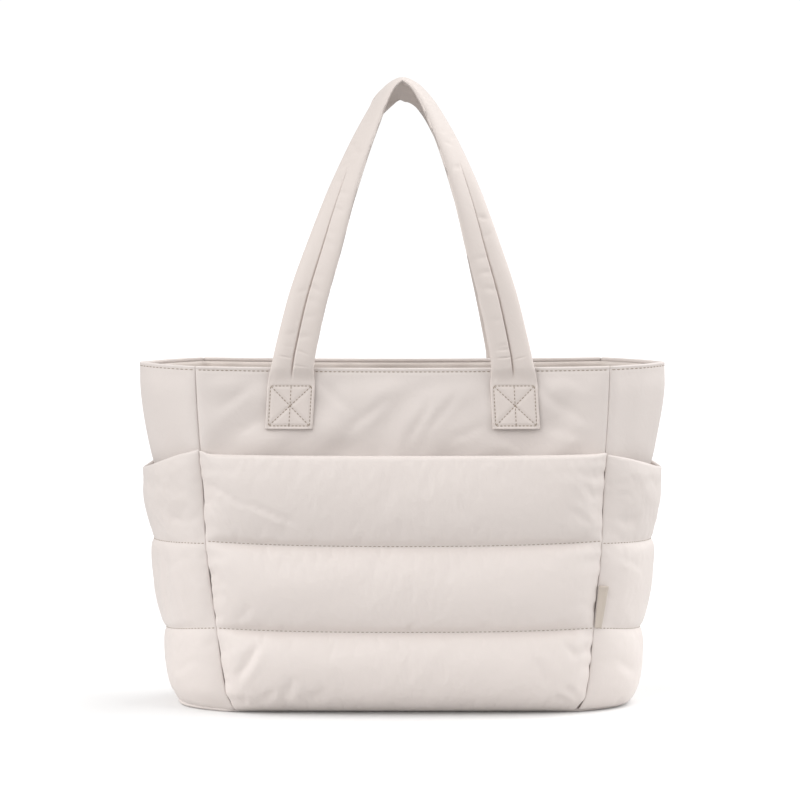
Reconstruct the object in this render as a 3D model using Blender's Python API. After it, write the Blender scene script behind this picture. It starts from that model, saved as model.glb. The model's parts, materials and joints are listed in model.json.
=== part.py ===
"""Puffer tote bag: padded panels, quilted pockets and two padded shoulder handles."""

import math
from collections import namedtuple

import bmesh
import bpy
from mathutils import Vector

# Driving sizes of the body, in metres
BAG_HEIGHT = 0.308
PANEL_HALF_WIDTH = 0.184
GUSSET_REACH = 0.053
HALF_DEPTH = 0.071
PANEL_BULGE = 0.008
RIM_SAG = 0.0015
WALL = 0.005
SEAM_WALL = 0.003
BASE_THICKNESS = 0.005
FACING_DEPTH = 0.030
FACING_THICKNESS = 0.002
BACK_CROWN = 0.006

# The fold of each gusset lies this far from the middle
FOLD_HALF_WIDTH = PANEL_HALF_WIDTH + GUSSET_REACH

# Driving sizes of the pockets
FRONT_POCKET_TOP = 0.2315
FRONT_POCKET_ROOM = 0.012
FRONT_POCKET_CROWN = 0.014
SIDE_POCKET_TOP = 0.2355
SIDE_MOUTH_DIP = 0.022
SIDE_POCKET_ROOM = 0.0145
SIDE_POCKET_CROWN = 0.0065
POCKET_EDGE = 0.003
POCKET_FOOT = 0.002

# Driving sizes of the handles and the tab
HANDLE_DROP = 0.2545
HANDLE_SPACING = 0.196
BACK_HANDLE_SPACING = 0.200
BACK_HANDLE_SINK = 0.0085
BACK_HANDLE_SHIFT = -0.002
HANDLE_GAP = 0.003
STRAP_WIDTH = 0.035
STRAP_THICKNESS = 0.0085
PATCH_WIDTH = 0.042
PATCH_HEIGHT = 0.041
PATCH_THICKNESS = 0.0032
PATCH_BELOW_RIM = 0.0155
TAB_LENGTH = 0.037
TAB_REACH = 0.011
TAB_THICKNESS = 0.0016
TAB_BOTTOM = 0.075

# Clearances between pieces that touch
CLEARANCE = 0.0003
SEAM_CLEARANCE = 0.0005
POCKET_CLEARANCE = 0.0008

# Shape numbers without a length: powers are larger where a pad stays full nearer its seams
BULGE_POWER = 2.2
WALL_POWER = 8
ROOM_POWER = 4
BACK_POWER = 10
FRONT_POCKET_POWER = 12
SIDE_POCKET_POWER = 6
POCKET_FOOT_POWER = 6
GUSSET_POWER = 1.5
DIP_POWER = 1.5
QUILT_POWER = 0.62
STRAP_ROUND_POWER = 3.2
STRAP_EDGE_SHARE = 0.03
BULGE_LOW_SHARE = 0.15
BULGE_HIGH_SHARE = 0.85
MITRE_SHARE = 0.5
MOUTH_SHARE = 0.84
PATCH_SLANT_SHARE = 0.11
STAND_OFF_SHARE = 0.62
CROWDING_SHARE = 0.3
TANGENT_STEP_SHARE = 0.002
SHARP_ANGLE = 50

# A row for each height of the body: shares of the bag's height, of the panel's half width,
# of the gusset fold's half width and of the half depth
Section = namedtuple("Section", "height seam fold depth")
SECTIONS = (
    Section(0.000, 0.818, 0.808, 0.890),
    Section(0.020, 0.840, 0.828, 0.930),
    Section(0.065, 0.868, 0.838, 0.975),
    Section(0.240, 0.904, 0.860, 1.000),
    Section(0.480, 0.947, 0.898, 0.990),
    Section(0.645, 0.960, 0.902, 0.960),
    Section(0.695, 0.967, 0.925, 0.948),
    Section(0.740, 0.975, 0.950, 0.937),
    Section(0.885, 0.992, 0.990, 0.896),
    Section(1.000, 1.000, 1.000, 0.873),
)

# A row for each sewn channel: lower and upper end as shares of the pocket's height, its
# crowns as shares of the front and side pockets' crowns, and how far its two ends dip at
# the gusset fold as shares of the mouth's dip
Channel = namedtuple("Channel", "low high crown side_crown low_dip high_dip")
CHANNELS = (
    Channel(0.000, 0.322, 1.00, 1.50, 0.00, 0.42),
    Channel(0.322, 0.643, 0.92, 0.92, 0.42, 0.18),
    Channel(0.643, 1.000, 0.95, 0.36, 0.18, 1.00),
)

# A row for each height where a side pocket's room changes: shares of the pocket's height
# and of its room, which is widest behind the upper channel
Room = namedtuple("Room", "height room")
SIDE_ROOMS = (
    Room(0.000, 0.00),
    Room(0.090, 0.34),
    Room(0.322, 0.52),
    Room(0.643, 0.58),
    Room(0.830, 1.00),
    Room(0.930, 0.98),
    Room(1.000, 0.72),
)

# A row for each fold of the front pocket: its two ends across (share of the half width)
# and up (share of the pocket's height), its depth and half width as shares of the crown
Fold = namedtuple("Fold", "across_1 up_1 across_2 up_2 depth width")
FRONT_POCKET_FOLDS = (
    Fold(-0.86, 0.87, -0.52, 0.75, 0.14, 0.50),
    Fold(-0.98, 0.72, -0.80, 0.84, 0.16, 0.45),
    Fold(-0.99, 0.66, -0.72, 0.70, 0.14, 0.45),
    Fold(0.97, 0.70, 0.80, 0.80, 0.14, 0.50),
    Fold(-0.96, 0.05, -0.80, 0.24, 0.20, 0.60),
    Fold(0.95, 0.06, 0.84, 0.26, 0.20, 0.60),
    Fold(-0.60, 0.02, -0.40, 0.10, 0.14, 0.70),
    Fold(-0.90, 0.33, -0.78, 0.43, 0.14, 0.50),
)

# A row for each station of a handle, from the foot to the top: shares of half the spacing,
# of the rise, of the lean to the middle, the two handles' twists in degrees, the share of
# the strap's thickness and the share of the way from the patch's width to the strap's
Station = namedtuple("Station", "across rise lean front_twist back_twist thick wide")
STATIONS = (
    Station(1.000, 0.000, 0.00, 0.0, 0.0, 0.38, 0.00),
    Station(0.985, 0.060, 0.01, 4.0, 4.0, 0.92, 0.80),
    Station(0.952, 0.127, 0.04, 10.0, 10.0, 1.00, 1.00),
    Station(0.851, 0.285, 0.15, 20.0, 20.0, 1.00, 1.00),
    Station(0.718, 0.444, 0.30, 32.0, 33.0, 1.00, 1.00),
    Station(0.581, 0.605, 0.46, 47.0, 47.0, 1.00, 1.00),
    Station(0.418, 0.764, 0.63, 60.0, 57.0, 0.95, 1.00),
    Station(0.283, 0.875, 0.78, 69.0, 62.0, 0.85, 1.00),
    Station(0.195, 0.938, 0.87, 76.0, 64.0, 0.78, 1.00),
    Station(0.105, 0.981, 0.95, 83.0, 65.0, 0.70, 1.00),
    Station(0.000, 1.000, 1.00, 88.0, 65.0, 0.66, 1.00),
)

# A row for each handle: which way it faces, its spacing, how far its top sinks and shifts,
# and its column of twists
Handle = namedtuple("Handle", "name way spacing sink shift twist")
HANDLES = (
    Handle("front_handle", -1.0, HANDLE_SPACING, 0.0, 0.0, "front_twist"),
    Handle("back_handle", 1.0, BACK_HANDLE_SPACING, BACK_HANDLE_SINK, BACK_HANDLE_SHIFT, "back_twist"),
)

# How finely each kind of piece is divided
FRONT_PANEL_COLUMNS = 16
BACK_PANEL_COLUMNS = 18
GUSSET_COLUMNS = 12
BASE_COLUMNS = 8
WALL_CHANNEL_ROWS = 4
WALL_TOP_ROWS = 3
POCKET_CHANNEL_ROWS = 6
FRONT_POCKET_COLUMNS = 28
TAB_COLUMNS = 3
TAB_ROWS = 6
STRAP_COLUMNS = 6
STRAP_ROWS = 42
PATCH_ROWS = 3

# Cloth colours, as linear values
CREAM_CLOTH = (0.716, 0.644, 0.591, 1.0)
HANDLE_CLOTH = (0.686, 0.610, 0.558, 1.0)
TAB_WEBBING = (0.640, 0.565, 0.510, 1.0)


def clear_scene():
    for old in list(bpy.data.objects):
        bpy.data.objects.remove(old, do_unlink=True)


def cloth_material(name, colour, roughness):
    material = bpy.data.materials.new(name)
    material.use_nodes = True
    shader = material.node_tree.nodes["Principled BSDF"]
    shader.inputs["Base Color"].default_value = colour
    shader.inputs["Roughness"].default_value = roughness
    shader.inputs["Metallic"].default_value = 0.0
    return material


def read_table(rows, column, at):
    """One column's value at a place in the first column, on a smooth curve through the rows."""
    knots = [row[0] for row in rows]
    values = [getattr(row, column) for row in rows]
    return read_curve(knots, values, at)


def read_curve(knots, values, at):
    last = len(knots) - 1
    at = min(max(at, knots[0]), knots[last])
    low = max(index for index in range(last) if knots[index] <= at)
    high = low + 1
    slopes = []
    for index in (low, high):
        before = max(index - 1, 0)
        after = min(index + 1, last)
        slopes.append((values[after] - values[before]) / (knots[after] - knots[before]))
    span = knots[high] - knots[low]
    t = (at - knots[low]) / span
    return (
        (2 * t**3 - 3 * t**2 + 1) * values[low]
        + (t**3 - 2 * t**2 + t) * span * slopes[0]
        + (3 * t**2 - 2 * t**3) * values[high]
        + (t**3 - t**2) * span * slopes[1]
    )


def seam_half(z):
    return PANEL_HALF_WIDTH * read_table(SECTIONS, "seam", z / BAG_HEIGHT)


def fold_half(z):
    return FOLD_HALF_WIDTH * read_table(SECTIONS, "fold", z / BAG_HEIGHT)


def half_depth(z):
    return HALF_DEPTH * read_table(SECTIONS, "depth", z / BAG_HEIGHT)


def mix(low, high, share):
    return low + (high - low) * share


def smooth_step(share):
    share = min(max(share, 0.0), 1.0)
    return share * share * (3.0 - 2.0 * share)


def fall(across, power):
    """One in the middle of a pad and nought at its two sides."""
    return 1.0 - min(abs(across), 1.0) ** power


def to_edges(across):
    """Moves evenly spaced columns closer together near the two sides."""
    return across * (1.0 + CROWDING_SHARE * (1.0 - across * across))


def panel_depth(across, z):
    """How far the outside of the front or back panel stands from the middle plane."""
    rise = math.sin(math.pi * mix(BULGE_LOW_SHARE, BULGE_HIGH_SHARE, min(z / BAG_HEIGHT, 1.0)))
    return half_depth(z) + PANEL_BULGE * rise * fall(across, BULGE_POWER)


def rim_height(across):
    return BAG_HEIGHT - RIM_SAG * fall(across, 2.0)


def quilt(share, crown_column, mouth):
    """The puff of the sewn channels at a share of the pocket's height."""
    share = min(max(share, 0.0), 1.0)
    for channel in CHANNELS:
        if share <= channel.high:
            inside = (share - channel.low) / (channel.high - channel.low)
            if mouth and channel is CHANNELS[-1]:
                inside *= MOUTH_SHARE
            arch = max(math.sin(math.pi * inside), 0.0) ** QUILT_POWER
            return getattr(channel, crown_column) * arch
    return 0.0


def channel_rows(count):
    """Shares of a quilted piece's height for its rows, closer together beside each seam."""
    shares = []
    for channel in CHANNELS:
        for index in range(count):
            inside = 0.5 - 0.5 * math.cos(math.pi * index / count)
            shares.append(mix(channel.low, channel.high, inside))
    shares.append(1.0)
    return shares


def wall_rows():
    """Row shares of the four walls: up to one beside the pockets, and above it to the rim."""
    above = [1.0 + (index + 1) / WALL_TOP_ROWS for index in range(WALL_TOP_ROWS)]
    return channel_rows(WALL_CHANNEL_ROWS) + above


def wall_height(share, top):
    """The height of a wall's row, which is the same where two walls meet."""
    if share > 1.0:
        return mix(FRONT_POCKET_TOP, top, share - 1.0)
    return mix(BASE_THICKNESS + CLEARANCE, FRONT_POCKET_TOP, share)


def row_share(shares, up):
    return shares[round(up * (len(shares) - 1))]


def sewn_pad(name, columns, rows, place, material, collection):
    """A closed pad: a grid doubled by extrusion, whose points place(across, up, layer) sets."""
    mesh = bmesh.new()
    bmesh.ops.create_grid(mesh, x_segments=columns, y_segments=rows, size=1.0)
    inner = mesh.verts[:]
    doubled = bmesh.ops.extrude_face_region(mesh, geom=mesh.faces[:])
    outer = [item for item in doubled["geom"] if isinstance(item, bmesh.types.BMVert)]
    for layer, verts in enumerate((inner, outer)):
        for vert in verts:
            across = vert.co.x
            up = 0.5 * (vert.co.y + 1.0)
            vert.co = place(across, up, layer)
    return finish_piece(name, mesh, material, collection)


def finish_piece(name, mesh, material, collection):
    """Turns a closed mesh outwards and makes it an object."""
    bmesh.ops.recalc_face_normals(mesh, faces=mesh.faces[:])
    if mesh.calc_volume(signed=True) < 0.0:
        bmesh.ops.reverse_faces(mesh, faces=mesh.faces[:])
    data = bpy.data.meshes.new(name)
    mesh.to_mesh(data)
    mesh.free()
    piece = bpy.data.objects.new(name, data)
    data.materials.append(material)
    data.shade_smooth()
    data.set_sharp_from_angle(angle=math.radians(SHARP_ANGLE))
    collection.objects.link(piece)
    return piece


def panel_point(across, share, inset):
    """A point of the front or back panel, with its depth measured out from the middle."""
    z = wall_height(share, rim_height(across))
    wall = mix(SEAM_WALL, WALL, fall(across, WALL_POWER))
    reach = seam_half(z) - 0.5 * SEAM_CLEARANCE - inset * MITRE_SHARE * SEAM_WALL
    return Vector((reach * across, panel_depth(across, z) - inset * wall, z))


def make_front_panel(material, collection):
    shares = wall_rows()

    def place(across, up, layer):
        point = panel_point(to_edges(across), row_share(shares, up), 1 - layer)
        return Vector((point.x, -point.y, point.z))

    rows = len(shares) - 1
    return sewn_pad("front_panel", FRONT_PANEL_COLUMNS, rows, place, material, collection)


def make_back_panel(material, collection):
    shares = wall_rows()

    def place(across, up, layer):
        across = to_edges(across)
        share = row_share(shares, up)
        point = panel_point(across, share, 1 - layer)
        if share < 1.0:
            puff = quilt(share, "crown", False) * fall(across, BACK_POWER)
            point.y += layer * BACK_CROWN * puff
        return point

    rows = len(shares) - 1
    return sewn_pad("back_panel", BACK_PANEL_COLUMNS, rows, place, material, collection)


def gusset_point(along, z, inset):
    """A point of the gusset's plan at one height, inset from the outside by a wall."""
    seam = seam_half(z) - inset * MITRE_SHARE * SEAM_WALL
    fold = fold_half(z) - inset * WALL
    depth = half_depth(z) - inset * SEAM_WALL
    seam += 0.5 * SEAM_CLEARANCE
    return Vector((seam + (fold - seam) * fall(along, GUSSET_POWER), depth * along, z))


def gusset_normal(along, z):
    """The outward direction of the gusset's plan."""
    slope = (fold_half(z) - seam_half(z)) * GUSSET_POWER / half_depth(z)
    slope *= math.copysign(min(abs(along), 1.0) ** (GUSSET_POWER - 1.0), along)
    return Vector((1.0, slope, 0.0)).normalized()


def make_gusset(name, side, material, collection):
    shares = wall_rows()

    def place(across, up, layer):
        z = wall_height(row_share(shares, up), BAG_HEIGHT)
        point = gusset_point(to_edges(across), z, 1 - layer)
        return Vector((side * point.x, point.y, point.z))

    return sewn_pad(name, GUSSET_COLUMNS, len(shares) - 1, place, material, collection)


def make_base_panel(material, collection):
    def place(across, up, layer):
        along = to_edges(2.0 * up - 1.0)
        edge = gusset_point(along, 0.0, 0.0)
        return Vector((edge.x * across, edge.y, layer * BASE_THICKNESS))

    return sewn_pad("base_panel", BASE_COLUMNS, GUSSET_COLUMNS, place, material, collection)


def mouth_loop(share, z, inset):
    """A point on the loop inside the mouth: front, right, back and left in equal quarters."""
    side = int(share) % 4
    place = to_edges(2.0 * (share - int(share)) - 1.0)
    if side in (0, 2):
        way = 1.0 if side == 0 else -1.0
        reach = seam_half(z) - MITRE_SHARE * (SEAM_WALL + inset)
        wall = mix(SEAM_WALL, WALL, fall(place, WALL_POWER)) + inset
        return Vector((way * reach * place, -way * (panel_depth(place, z) - wall), z))
    way = 1.0 if side == 1 else -1.0
    depth = half_depth(z) - SEAM_WALL - inset
    seam = seam_half(z) - MITRE_SHARE * (SEAM_WALL + inset)
    fold = fold_half(z) - WALL - inset
    reach = seam + (fold - seam) * fall(place, GUSSET_POWER)
    return Vector((way * reach, way * depth * place, z))


def make_rim_facing(material, collection):
    around = 4 * GUSSET_COLUMNS
    mesh = bmesh.new()
    bmesh.ops.create_cone(mesh, cap_ends=False, segments=around, radius1=1.0, radius2=1.0, depth=2.0)
    doubled = bmesh.ops.extrude_face_region(mesh, geom=mesh.faces[:])
    inner = {item for item in doubled["geom"] if isinstance(item, bmesh.types.BMVert)}
    for vert in mesh.verts:
        angle = math.atan2(vert.co.y, vert.co.x) % (2.0 * math.pi)
        share = round(angle / (2.0 * math.pi) * around) / GUSSET_COLUMNS % 4.0
        low = vert.co.z < 0.0
        inset = 2.0 * CLEARANCE + (FACING_THICKNESS if vert in inner else 0.0)
        edge = mouth_loop(share, BAG_HEIGHT, inset)
        across = edge.x / seam_half(BAG_HEIGHT) if int(share) % 2 == 0 else 1.0
        top = rim_height(across) - CLEARANCE
        vert.co = mouth_loop(share, top - (FACING_DEPTH if low else 0.0), inset)
    return finish_piece("rim_facing", mesh, material, collection)


def fold_dent(across, share):
    """How deep the folds dent the front pocket, as a share of its crown."""
    tall = FRONT_POCKET_TOP / PANEL_HALF_WIDTH
    dent = 0.0
    for fold in FRONT_POCKET_FOLDS:
        start = Vector((fold.across_1, fold.up_1 * tall))
        end = Vector((fold.across_2, fold.up_2 * tall))
        point = Vector((across, share * tall))
        run = end - start
        place = min(max((point - start).dot(run) / run.length_squared, 0.0), 1.0)
        away = (point - start - run * place).length * PANEL_HALF_WIDTH
        dent += fold.depth * math.exp(-((away / (fold.width * FRONT_POCKET_CROWN)) ** 2))
    return dent


def front_pocket_point(across, share, layer):
    z = mix(POCKET_FOOT, FRONT_POCKET_TOP, share)
    reach = seam_half(z) - SEAM_CLEARANCE
    room = FRONT_POCKET_ROOM * fall(across, ROOM_POWER) * fall(1.0 - share, POCKET_FOOT_POWER)
    depth = panel_depth(across, z) + POCKET_CLEARANCE + room
    puff = quilt(share, "crown", True) * fall(across, FRONT_POCKET_POWER)
    puff *= 1.0 - fold_dent(across, share)
    depth += layer * (POCKET_EDGE + FRONT_POCKET_CROWN * puff)
    return Vector((reach * across, -depth, z))


def make_front_pocket(material, collection):
    shares = channel_rows(POCKET_CHANNEL_ROWS)

    def place(across, up, layer):
        return front_pocket_point(to_edges(across), row_share(shares, up), layer)

    rows = len(shares) - 1
    return sewn_pad("front_pocket", FRONT_POCKET_COLUMNS, rows, place, material, collection)


def side_pocket_height(along, share):
    """The height of a side pocket's point, whose seams and mouth dip towards the fold."""
    dip = 0.0
    for channel in CHANNELS:
        if share <= channel.high:
            inside = (share - channel.low) / (channel.high - channel.low)
            dip = mix(channel.low_dip, channel.high_dip, inside)
            break
    sunk = SIDE_MOUTH_DIP * dip * fall(along, DIP_POWER)
    return mix(POCKET_FOOT, SIDE_POCKET_TOP, share) - sunk


def side_pocket_point(along, share, layer, proud=0.0):
    z = side_pocket_height(along, share)
    base = gusset_point(along, z, 0.0)
    room = SIDE_POCKET_ROOM * fall(along, ROOM_POWER) * read_table(SIDE_ROOMS, "room", share)
    puff = quilt(share, "side_crown", True) * fall(along, SIDE_POCKET_POWER)
    off = POCKET_CLEARANCE + room + layer * (POCKET_EDGE + SIDE_POCKET_CROWN * puff) + proud
    return base + gusset_normal(along, z) * off


def make_side_pocket(name, side, material, collection):
    shares = channel_rows(POCKET_CHANNEL_ROWS)

    def place(across, up, layer):
        point = side_pocket_point(to_edges(across), row_share(shares, up), layer)
        return Vector((side * point.x, point.y, point.z))

    rows = len(shares) - 1
    return sewn_pad(name, GUSSET_COLUMNS, rows, place, material, collection)


def make_side_tab(material, collection):
    def place(across, up, layer):
        along = -1.0 + 0.5 * (across + 1.0) * TAB_REACH / math.hypot(GUSSET_REACH, HALF_DEPTH)
        share = (TAB_BOTTOM + up * TAB_LENGTH - POCKET_FOOT) / (SIDE_POCKET_TOP - POCKET_FOOT)
        proud = 2.0 * CLEARANCE + layer * TAB_THICKNESS
        return side_pocket_point(along, share, 1, proud)

    return sewn_pad("side_tab", TAB_COLUMNS, TAB_ROWS, place, material, collection)


def handle_value(place, column, mirror=1.0):
    """One column of the stations at a place from one foot, through the top, to the other."""
    steps = len(STATIONS) - 1
    values = [getattr(row, column) for row in STATIONS]
    both = values + [mirror * value for value in values[-2::-1]]
    return read_curve(list(range(2 * steps + 1)), both, (place + 1.0) * steps)


def strap_middle(handle, place):
    """The middle of the strap, with its depth measured out from the bag's middle."""
    rise_height = HANDLE_DROP + PATCH_BELOW_RIM - 0.5 * STRAP_THICKNESS * STATIONS[-1].thick
    foot_depth = panel_depth(0.5, BAG_HEIGHT) + CLEARANCE + STAND_OFF_SHARE * STRAP_THICKNESS
    top_depth = 0.5 * (STRAP_WIDTH + HANDLE_GAP)
    rise = handle_value(place, "rise")
    x = 0.5 * handle.spacing * handle_value(place, "across", -1.0)
    y = mix(foot_depth, top_depth, handle_value(place, "lean"))
    z = BAG_HEIGHT - PATCH_BELOW_RIM + (rise_height - handle.sink) * rise
    return Vector((handle.shift - x, y, z))


def strap_point(handle, place, edge, layer):
    """A point of the free strap; edge runs from the inner edge to the outer edge."""
    middle = strap_middle(handle, place)
    before = strap_middle(handle, max(place - TANGENT_STEP_SHARE, -1.0))
    after = strap_middle(handle, min(place + TANGENT_STEP_SHARE, 1.0))
    tangent = (after - before).normalized()
    out = Vector((-tangent.z, 0.0, tangent.x)).normalized()
    inwards = Vector((0.0, -1.0, 0.0))
    twist = math.radians(handle_value(place, handle.twist))
    across = out * math.cos(twist) + inwards * math.sin(twist)
    across = (across - tangent * across.dot(tangent)).normalized()
    normal = tangent.cross(across).normalized()
    if normal.dot(out * math.sin(twist) - inwards * math.cos(twist)) < 0.0:
        normal = -normal
    width = mix(PATCH_WIDTH, STRAP_WIDTH, handle_value(place, "wide"))
    thick = STRAP_THICKNESS * handle_value(place, "thick")
    round_off = math.sqrt(max(fall(edge, STRAP_ROUND_POWER), STRAP_EDGE_SHARE))
    return middle + across * (0.5 * width * edge) + normal * ((layer - 0.5) * thick * round_off)


def make_handle(handle, material, collection):
    """A padded strap over the bag with its two ends flattened on the panel."""
    total = STRAP_ROWS + 2 * PATCH_ROWS
    foot_height = BAG_HEIGHT - PATCH_BELOW_RIM

    def place(across, up, layer):
        row = round(up * total)
        edge = math.sin(0.5 * math.pi * across)
        along = 2.0 * (row - PATCH_ROWS) / STRAP_ROWS - 1.0
        below = max(PATCH_ROWS - row, row - total + PATCH_ROWS, 0)
        point = strap_point(handle, min(max(along, -1.0), 1.0), edge, layer)
        down = PATCH_HEIGHT * below / PATCH_ROWS
        point += Vector((math.copysign(PATCH_SLANT_SHARE, along) * down, 0.0, -down))
        seat = panel_depth(point.x / seam_half(point.z), min(point.z, BAG_HEIGHT))
        seated = seat + 2.0 * CLEARANCE + layer * PATCH_THICKNESS
        loose = smooth_step((point.z - foot_height) / PATCH_BELOW_RIM)
        return Vector((point.x, handle.way * mix(seated, point.y, loose), point.z))

    return sewn_pad(handle.name, STRAP_COLUMNS, total, place, material, collection)


def main():
    clear_scene()
    collection = bpy.data.collections.new("puffer_tote_bag")
    bpy.context.scene.collection.children.link(collection)
    shell = cloth_material("padded_cloth", CREAM_CLOTH, 0.55)
    strap = cloth_material("handle_cloth", HANDLE_CLOTH, 0.55)
    webbing = cloth_material("tab_webbing", TAB_WEBBING, 0.8)
    make_base_panel(shell, collection)
    make_front_panel(shell, collection)
    make_back_panel(shell, collection)
    make_gusset("left_gusset", -1.0, shell, collection)
    make_gusset("right_gusset", 1.0, shell, collection)
    make_rim_facing(shell, collection)
    make_front_pocket(shell, collection)
    make_side_pocket("left_side_pocket", -1.0, shell, collection)
    make_side_pocket("right_side_pocket", 1.0, shell, collection)
    make_side_tab(webbing, collection)
    for handle in HANDLES:
        make_handle(handle, strap, collection)


main()
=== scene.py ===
import json
import math
import random
from collections import namedtuple

import bmesh
import bpy
import numpy as np
from bpy.props import FloatProperty, FloatVectorProperty, PointerProperty
from mathutils import Matrix, Vector
from mathutils.bvhtree import BVHTree

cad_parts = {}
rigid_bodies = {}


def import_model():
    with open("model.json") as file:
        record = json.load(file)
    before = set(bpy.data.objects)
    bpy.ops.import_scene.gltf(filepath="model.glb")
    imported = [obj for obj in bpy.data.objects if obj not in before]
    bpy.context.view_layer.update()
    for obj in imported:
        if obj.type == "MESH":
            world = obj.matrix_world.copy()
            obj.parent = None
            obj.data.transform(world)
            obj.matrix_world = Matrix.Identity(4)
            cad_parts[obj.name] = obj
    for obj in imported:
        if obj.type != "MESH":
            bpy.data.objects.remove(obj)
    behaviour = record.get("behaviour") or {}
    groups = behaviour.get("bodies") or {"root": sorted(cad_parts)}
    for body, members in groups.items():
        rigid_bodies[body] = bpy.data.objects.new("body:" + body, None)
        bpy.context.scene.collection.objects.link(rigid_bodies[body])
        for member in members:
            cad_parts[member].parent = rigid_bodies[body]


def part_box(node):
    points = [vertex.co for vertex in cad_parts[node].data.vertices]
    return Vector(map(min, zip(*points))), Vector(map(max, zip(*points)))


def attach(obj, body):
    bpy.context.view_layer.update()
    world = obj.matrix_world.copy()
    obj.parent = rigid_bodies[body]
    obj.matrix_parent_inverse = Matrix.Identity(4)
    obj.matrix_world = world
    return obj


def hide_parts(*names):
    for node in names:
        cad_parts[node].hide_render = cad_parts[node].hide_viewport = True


bl_info = {
    "name": "Puffer tote bag",
    "version": (1, 0, 0),
    "blender": (4, 5, 0),
    "location": "3D View > Sidebar > Tote",
    "description": "Dresses the packed puffer tote bag in padded cloth, quilting and stitching",
    "category": "Object",
}

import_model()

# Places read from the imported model, in metres
PANEL_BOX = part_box("front_panel")
GUSSET_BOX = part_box("right_gusset")
FRONT_POCKET_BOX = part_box("front_pocket")
SIDE_POCKET_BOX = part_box("right_side_pocket")
HANDLE_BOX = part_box("front_handle")

# Small real sizes of the walls and the rim, in metres
CLOTH_GAP = 0.0008
SEAM_GAP = 0.0005
SEAM_WALL = 0.003
WALL = 0.005
GUSSET_REACH = 0.053
BASE_THICKNESS = 0.0045
BASE_LIP = 0.0016
PANEL_BULGE = 0.008
PANEL_EDGE_DROP = 0.0020
BACK_CROWN = 0.006
RIM_SAG = 0.0015
RIM_BAND = 0.0034
RIM_ROLL = 0.0014
RIM_ROLL_RUN = 0.0008
RIM_SWELL = 0.0014
RIM_SWELL_RUN = 0.020
RIM_VALLEY_WIDTH = 0.0011
PANEL_RIM_VALLEY = 0.0006
GUSSET_RIM_VALLEY = 0.0003
FACING_DEPTH = 0.030
FACING_THICKNESS = 0.0018
FACING_SEAT = 0.0014
FACING_WAVE = 0.0009
FACING_DROP = 0.0002

# Small real sizes of the pockets and the tab, in metres
POCKET_EDGE = 0.003
POCKET_FOOT = 0.002
FRONT_POCKET_ROOM = 0.012
SIDE_POCKET_ROOM = 0.0145
SIDE_MOUTH_DIP = 0.022
RIGHT_MOUTH_DROP = 0.0045
LEFT_CORNER_LIFT = 0.0026
RIGHT_CORNER_LIFT = 0.0006
CORNER_ROUND = 0.0028
EDGE_PRESS = 0.0011
EDGE_WAVE = 0.0005
EDGE_WAVE_RUN = 0.0031
PUCKER_START = 0.0035
PUCKER_REACH = 0.006
TAB_LOW = 0.0772
TAB_HIGH = 0.1150
TAB_WIDTH_LOW = 0.0052
TAB_WIDTH_HIGH = 0.0066
TAB_SEAT = 0.0010
TAB_THICKNESS = 0.0014
TAB_RIB = 0.00012
TAB_EDGE = 0.0005
TAB_FOLD = 0.0010

# Small real sizes of the handles and their patches, in metres
HANDLE_GAP = 0.003
HANDLE_STAND_OFF = 0.0003
PATCH_BELOW_RIM = 0.0155
PATCH_HEIGHT = 0.0395
PATCH_THICKNESS = 0.0026
PATCH_INSET = 0.0030
PATCH_TOP_INSET = 0.0015
PATCH_SEAT = 0.0024
PATCH_DENT = 0.0009
PATCH_DENT_WIDTH = 0.0011
STRAP_RUN = 0.62

# Flat width and height of each piece's cloth, in metres
PANEL_CLOTH = (0.37, 0.31)
GUSSET_CLOTH = (0.165, 0.31)
BASE_CLOTH = (0.37, 0.14)
FRONT_POCKET_CLOTH = (0.40, 0.28)
SIDE_POCKET_CLOTH = (0.19, 0.26)
TAB_CLOTH = (0.011, 0.037)
STRAP_CLOTH = (0.035, 0.70)

# Powers and shares of the padded forms
BULGE_POWER = 2.2
SAG_POWER = 2.0
WALL_POWER = 8
ROOM_POWER = 4
FOOT_POWER = 6
BACK_POWER = 10
CALM_POWER = 12
SWELL_POWER = 30
FRONT_POCKET_POWER = 16
SIDE_POCKET_POWER = 6
DIP_POWER = 1.5
QUILT_POWER = 0.48
MOUTH_SHARE = 0.84
MITRE_SHARE = 0.5
STAND_OFF_SHARE = 0.62
BASE_DEPTH_SHARE = 1.025
HELD_EDGE = 0.999
TAB_START = -0.985
PATCH_SLANT = 0.055

# How air fills the wadded cloth in the simulation
AIR_PRESSURE = 1.2
AIR_FRAMES = 12
AIR_REACH = 0.0020
CLOTH_STIFFNESS = 20.0
POCKET_GROWTH = 0.005
BACK_GROWTH = 0.002
START_NOISE = 0.00012

# Sewing, lights and camera
STITCH_SHARE = 0.68
GUSSET_PITCH_SHARE = 1.35
CAMERA_PLACE = (-0.00225, -2.8, 0.498)
CAMERA_TARGET = (-0.00225, 0.0, 0.273)
CAMERA_LENS = 140.0
CAMERA_SENSOR = 36.0
FLOOR_HALF = 30.0
FLOOR_CLEARANCE = 0.0002
SURROUNDING_STRENGTH = 0.62
BACKDROP_STRENGTH = 1.05
# Azimuth off the front, height above the floor and softness are in degrees
Light = namedtuple("Light", "name azimuth height softness strength")
LIGHTS = (
    Light("left_softbox", -60.0, 30.0, 70.0, 2.22),
    Light("right_softbox", 98.0, 30.0, 90.0, 3.0),
)

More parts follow.
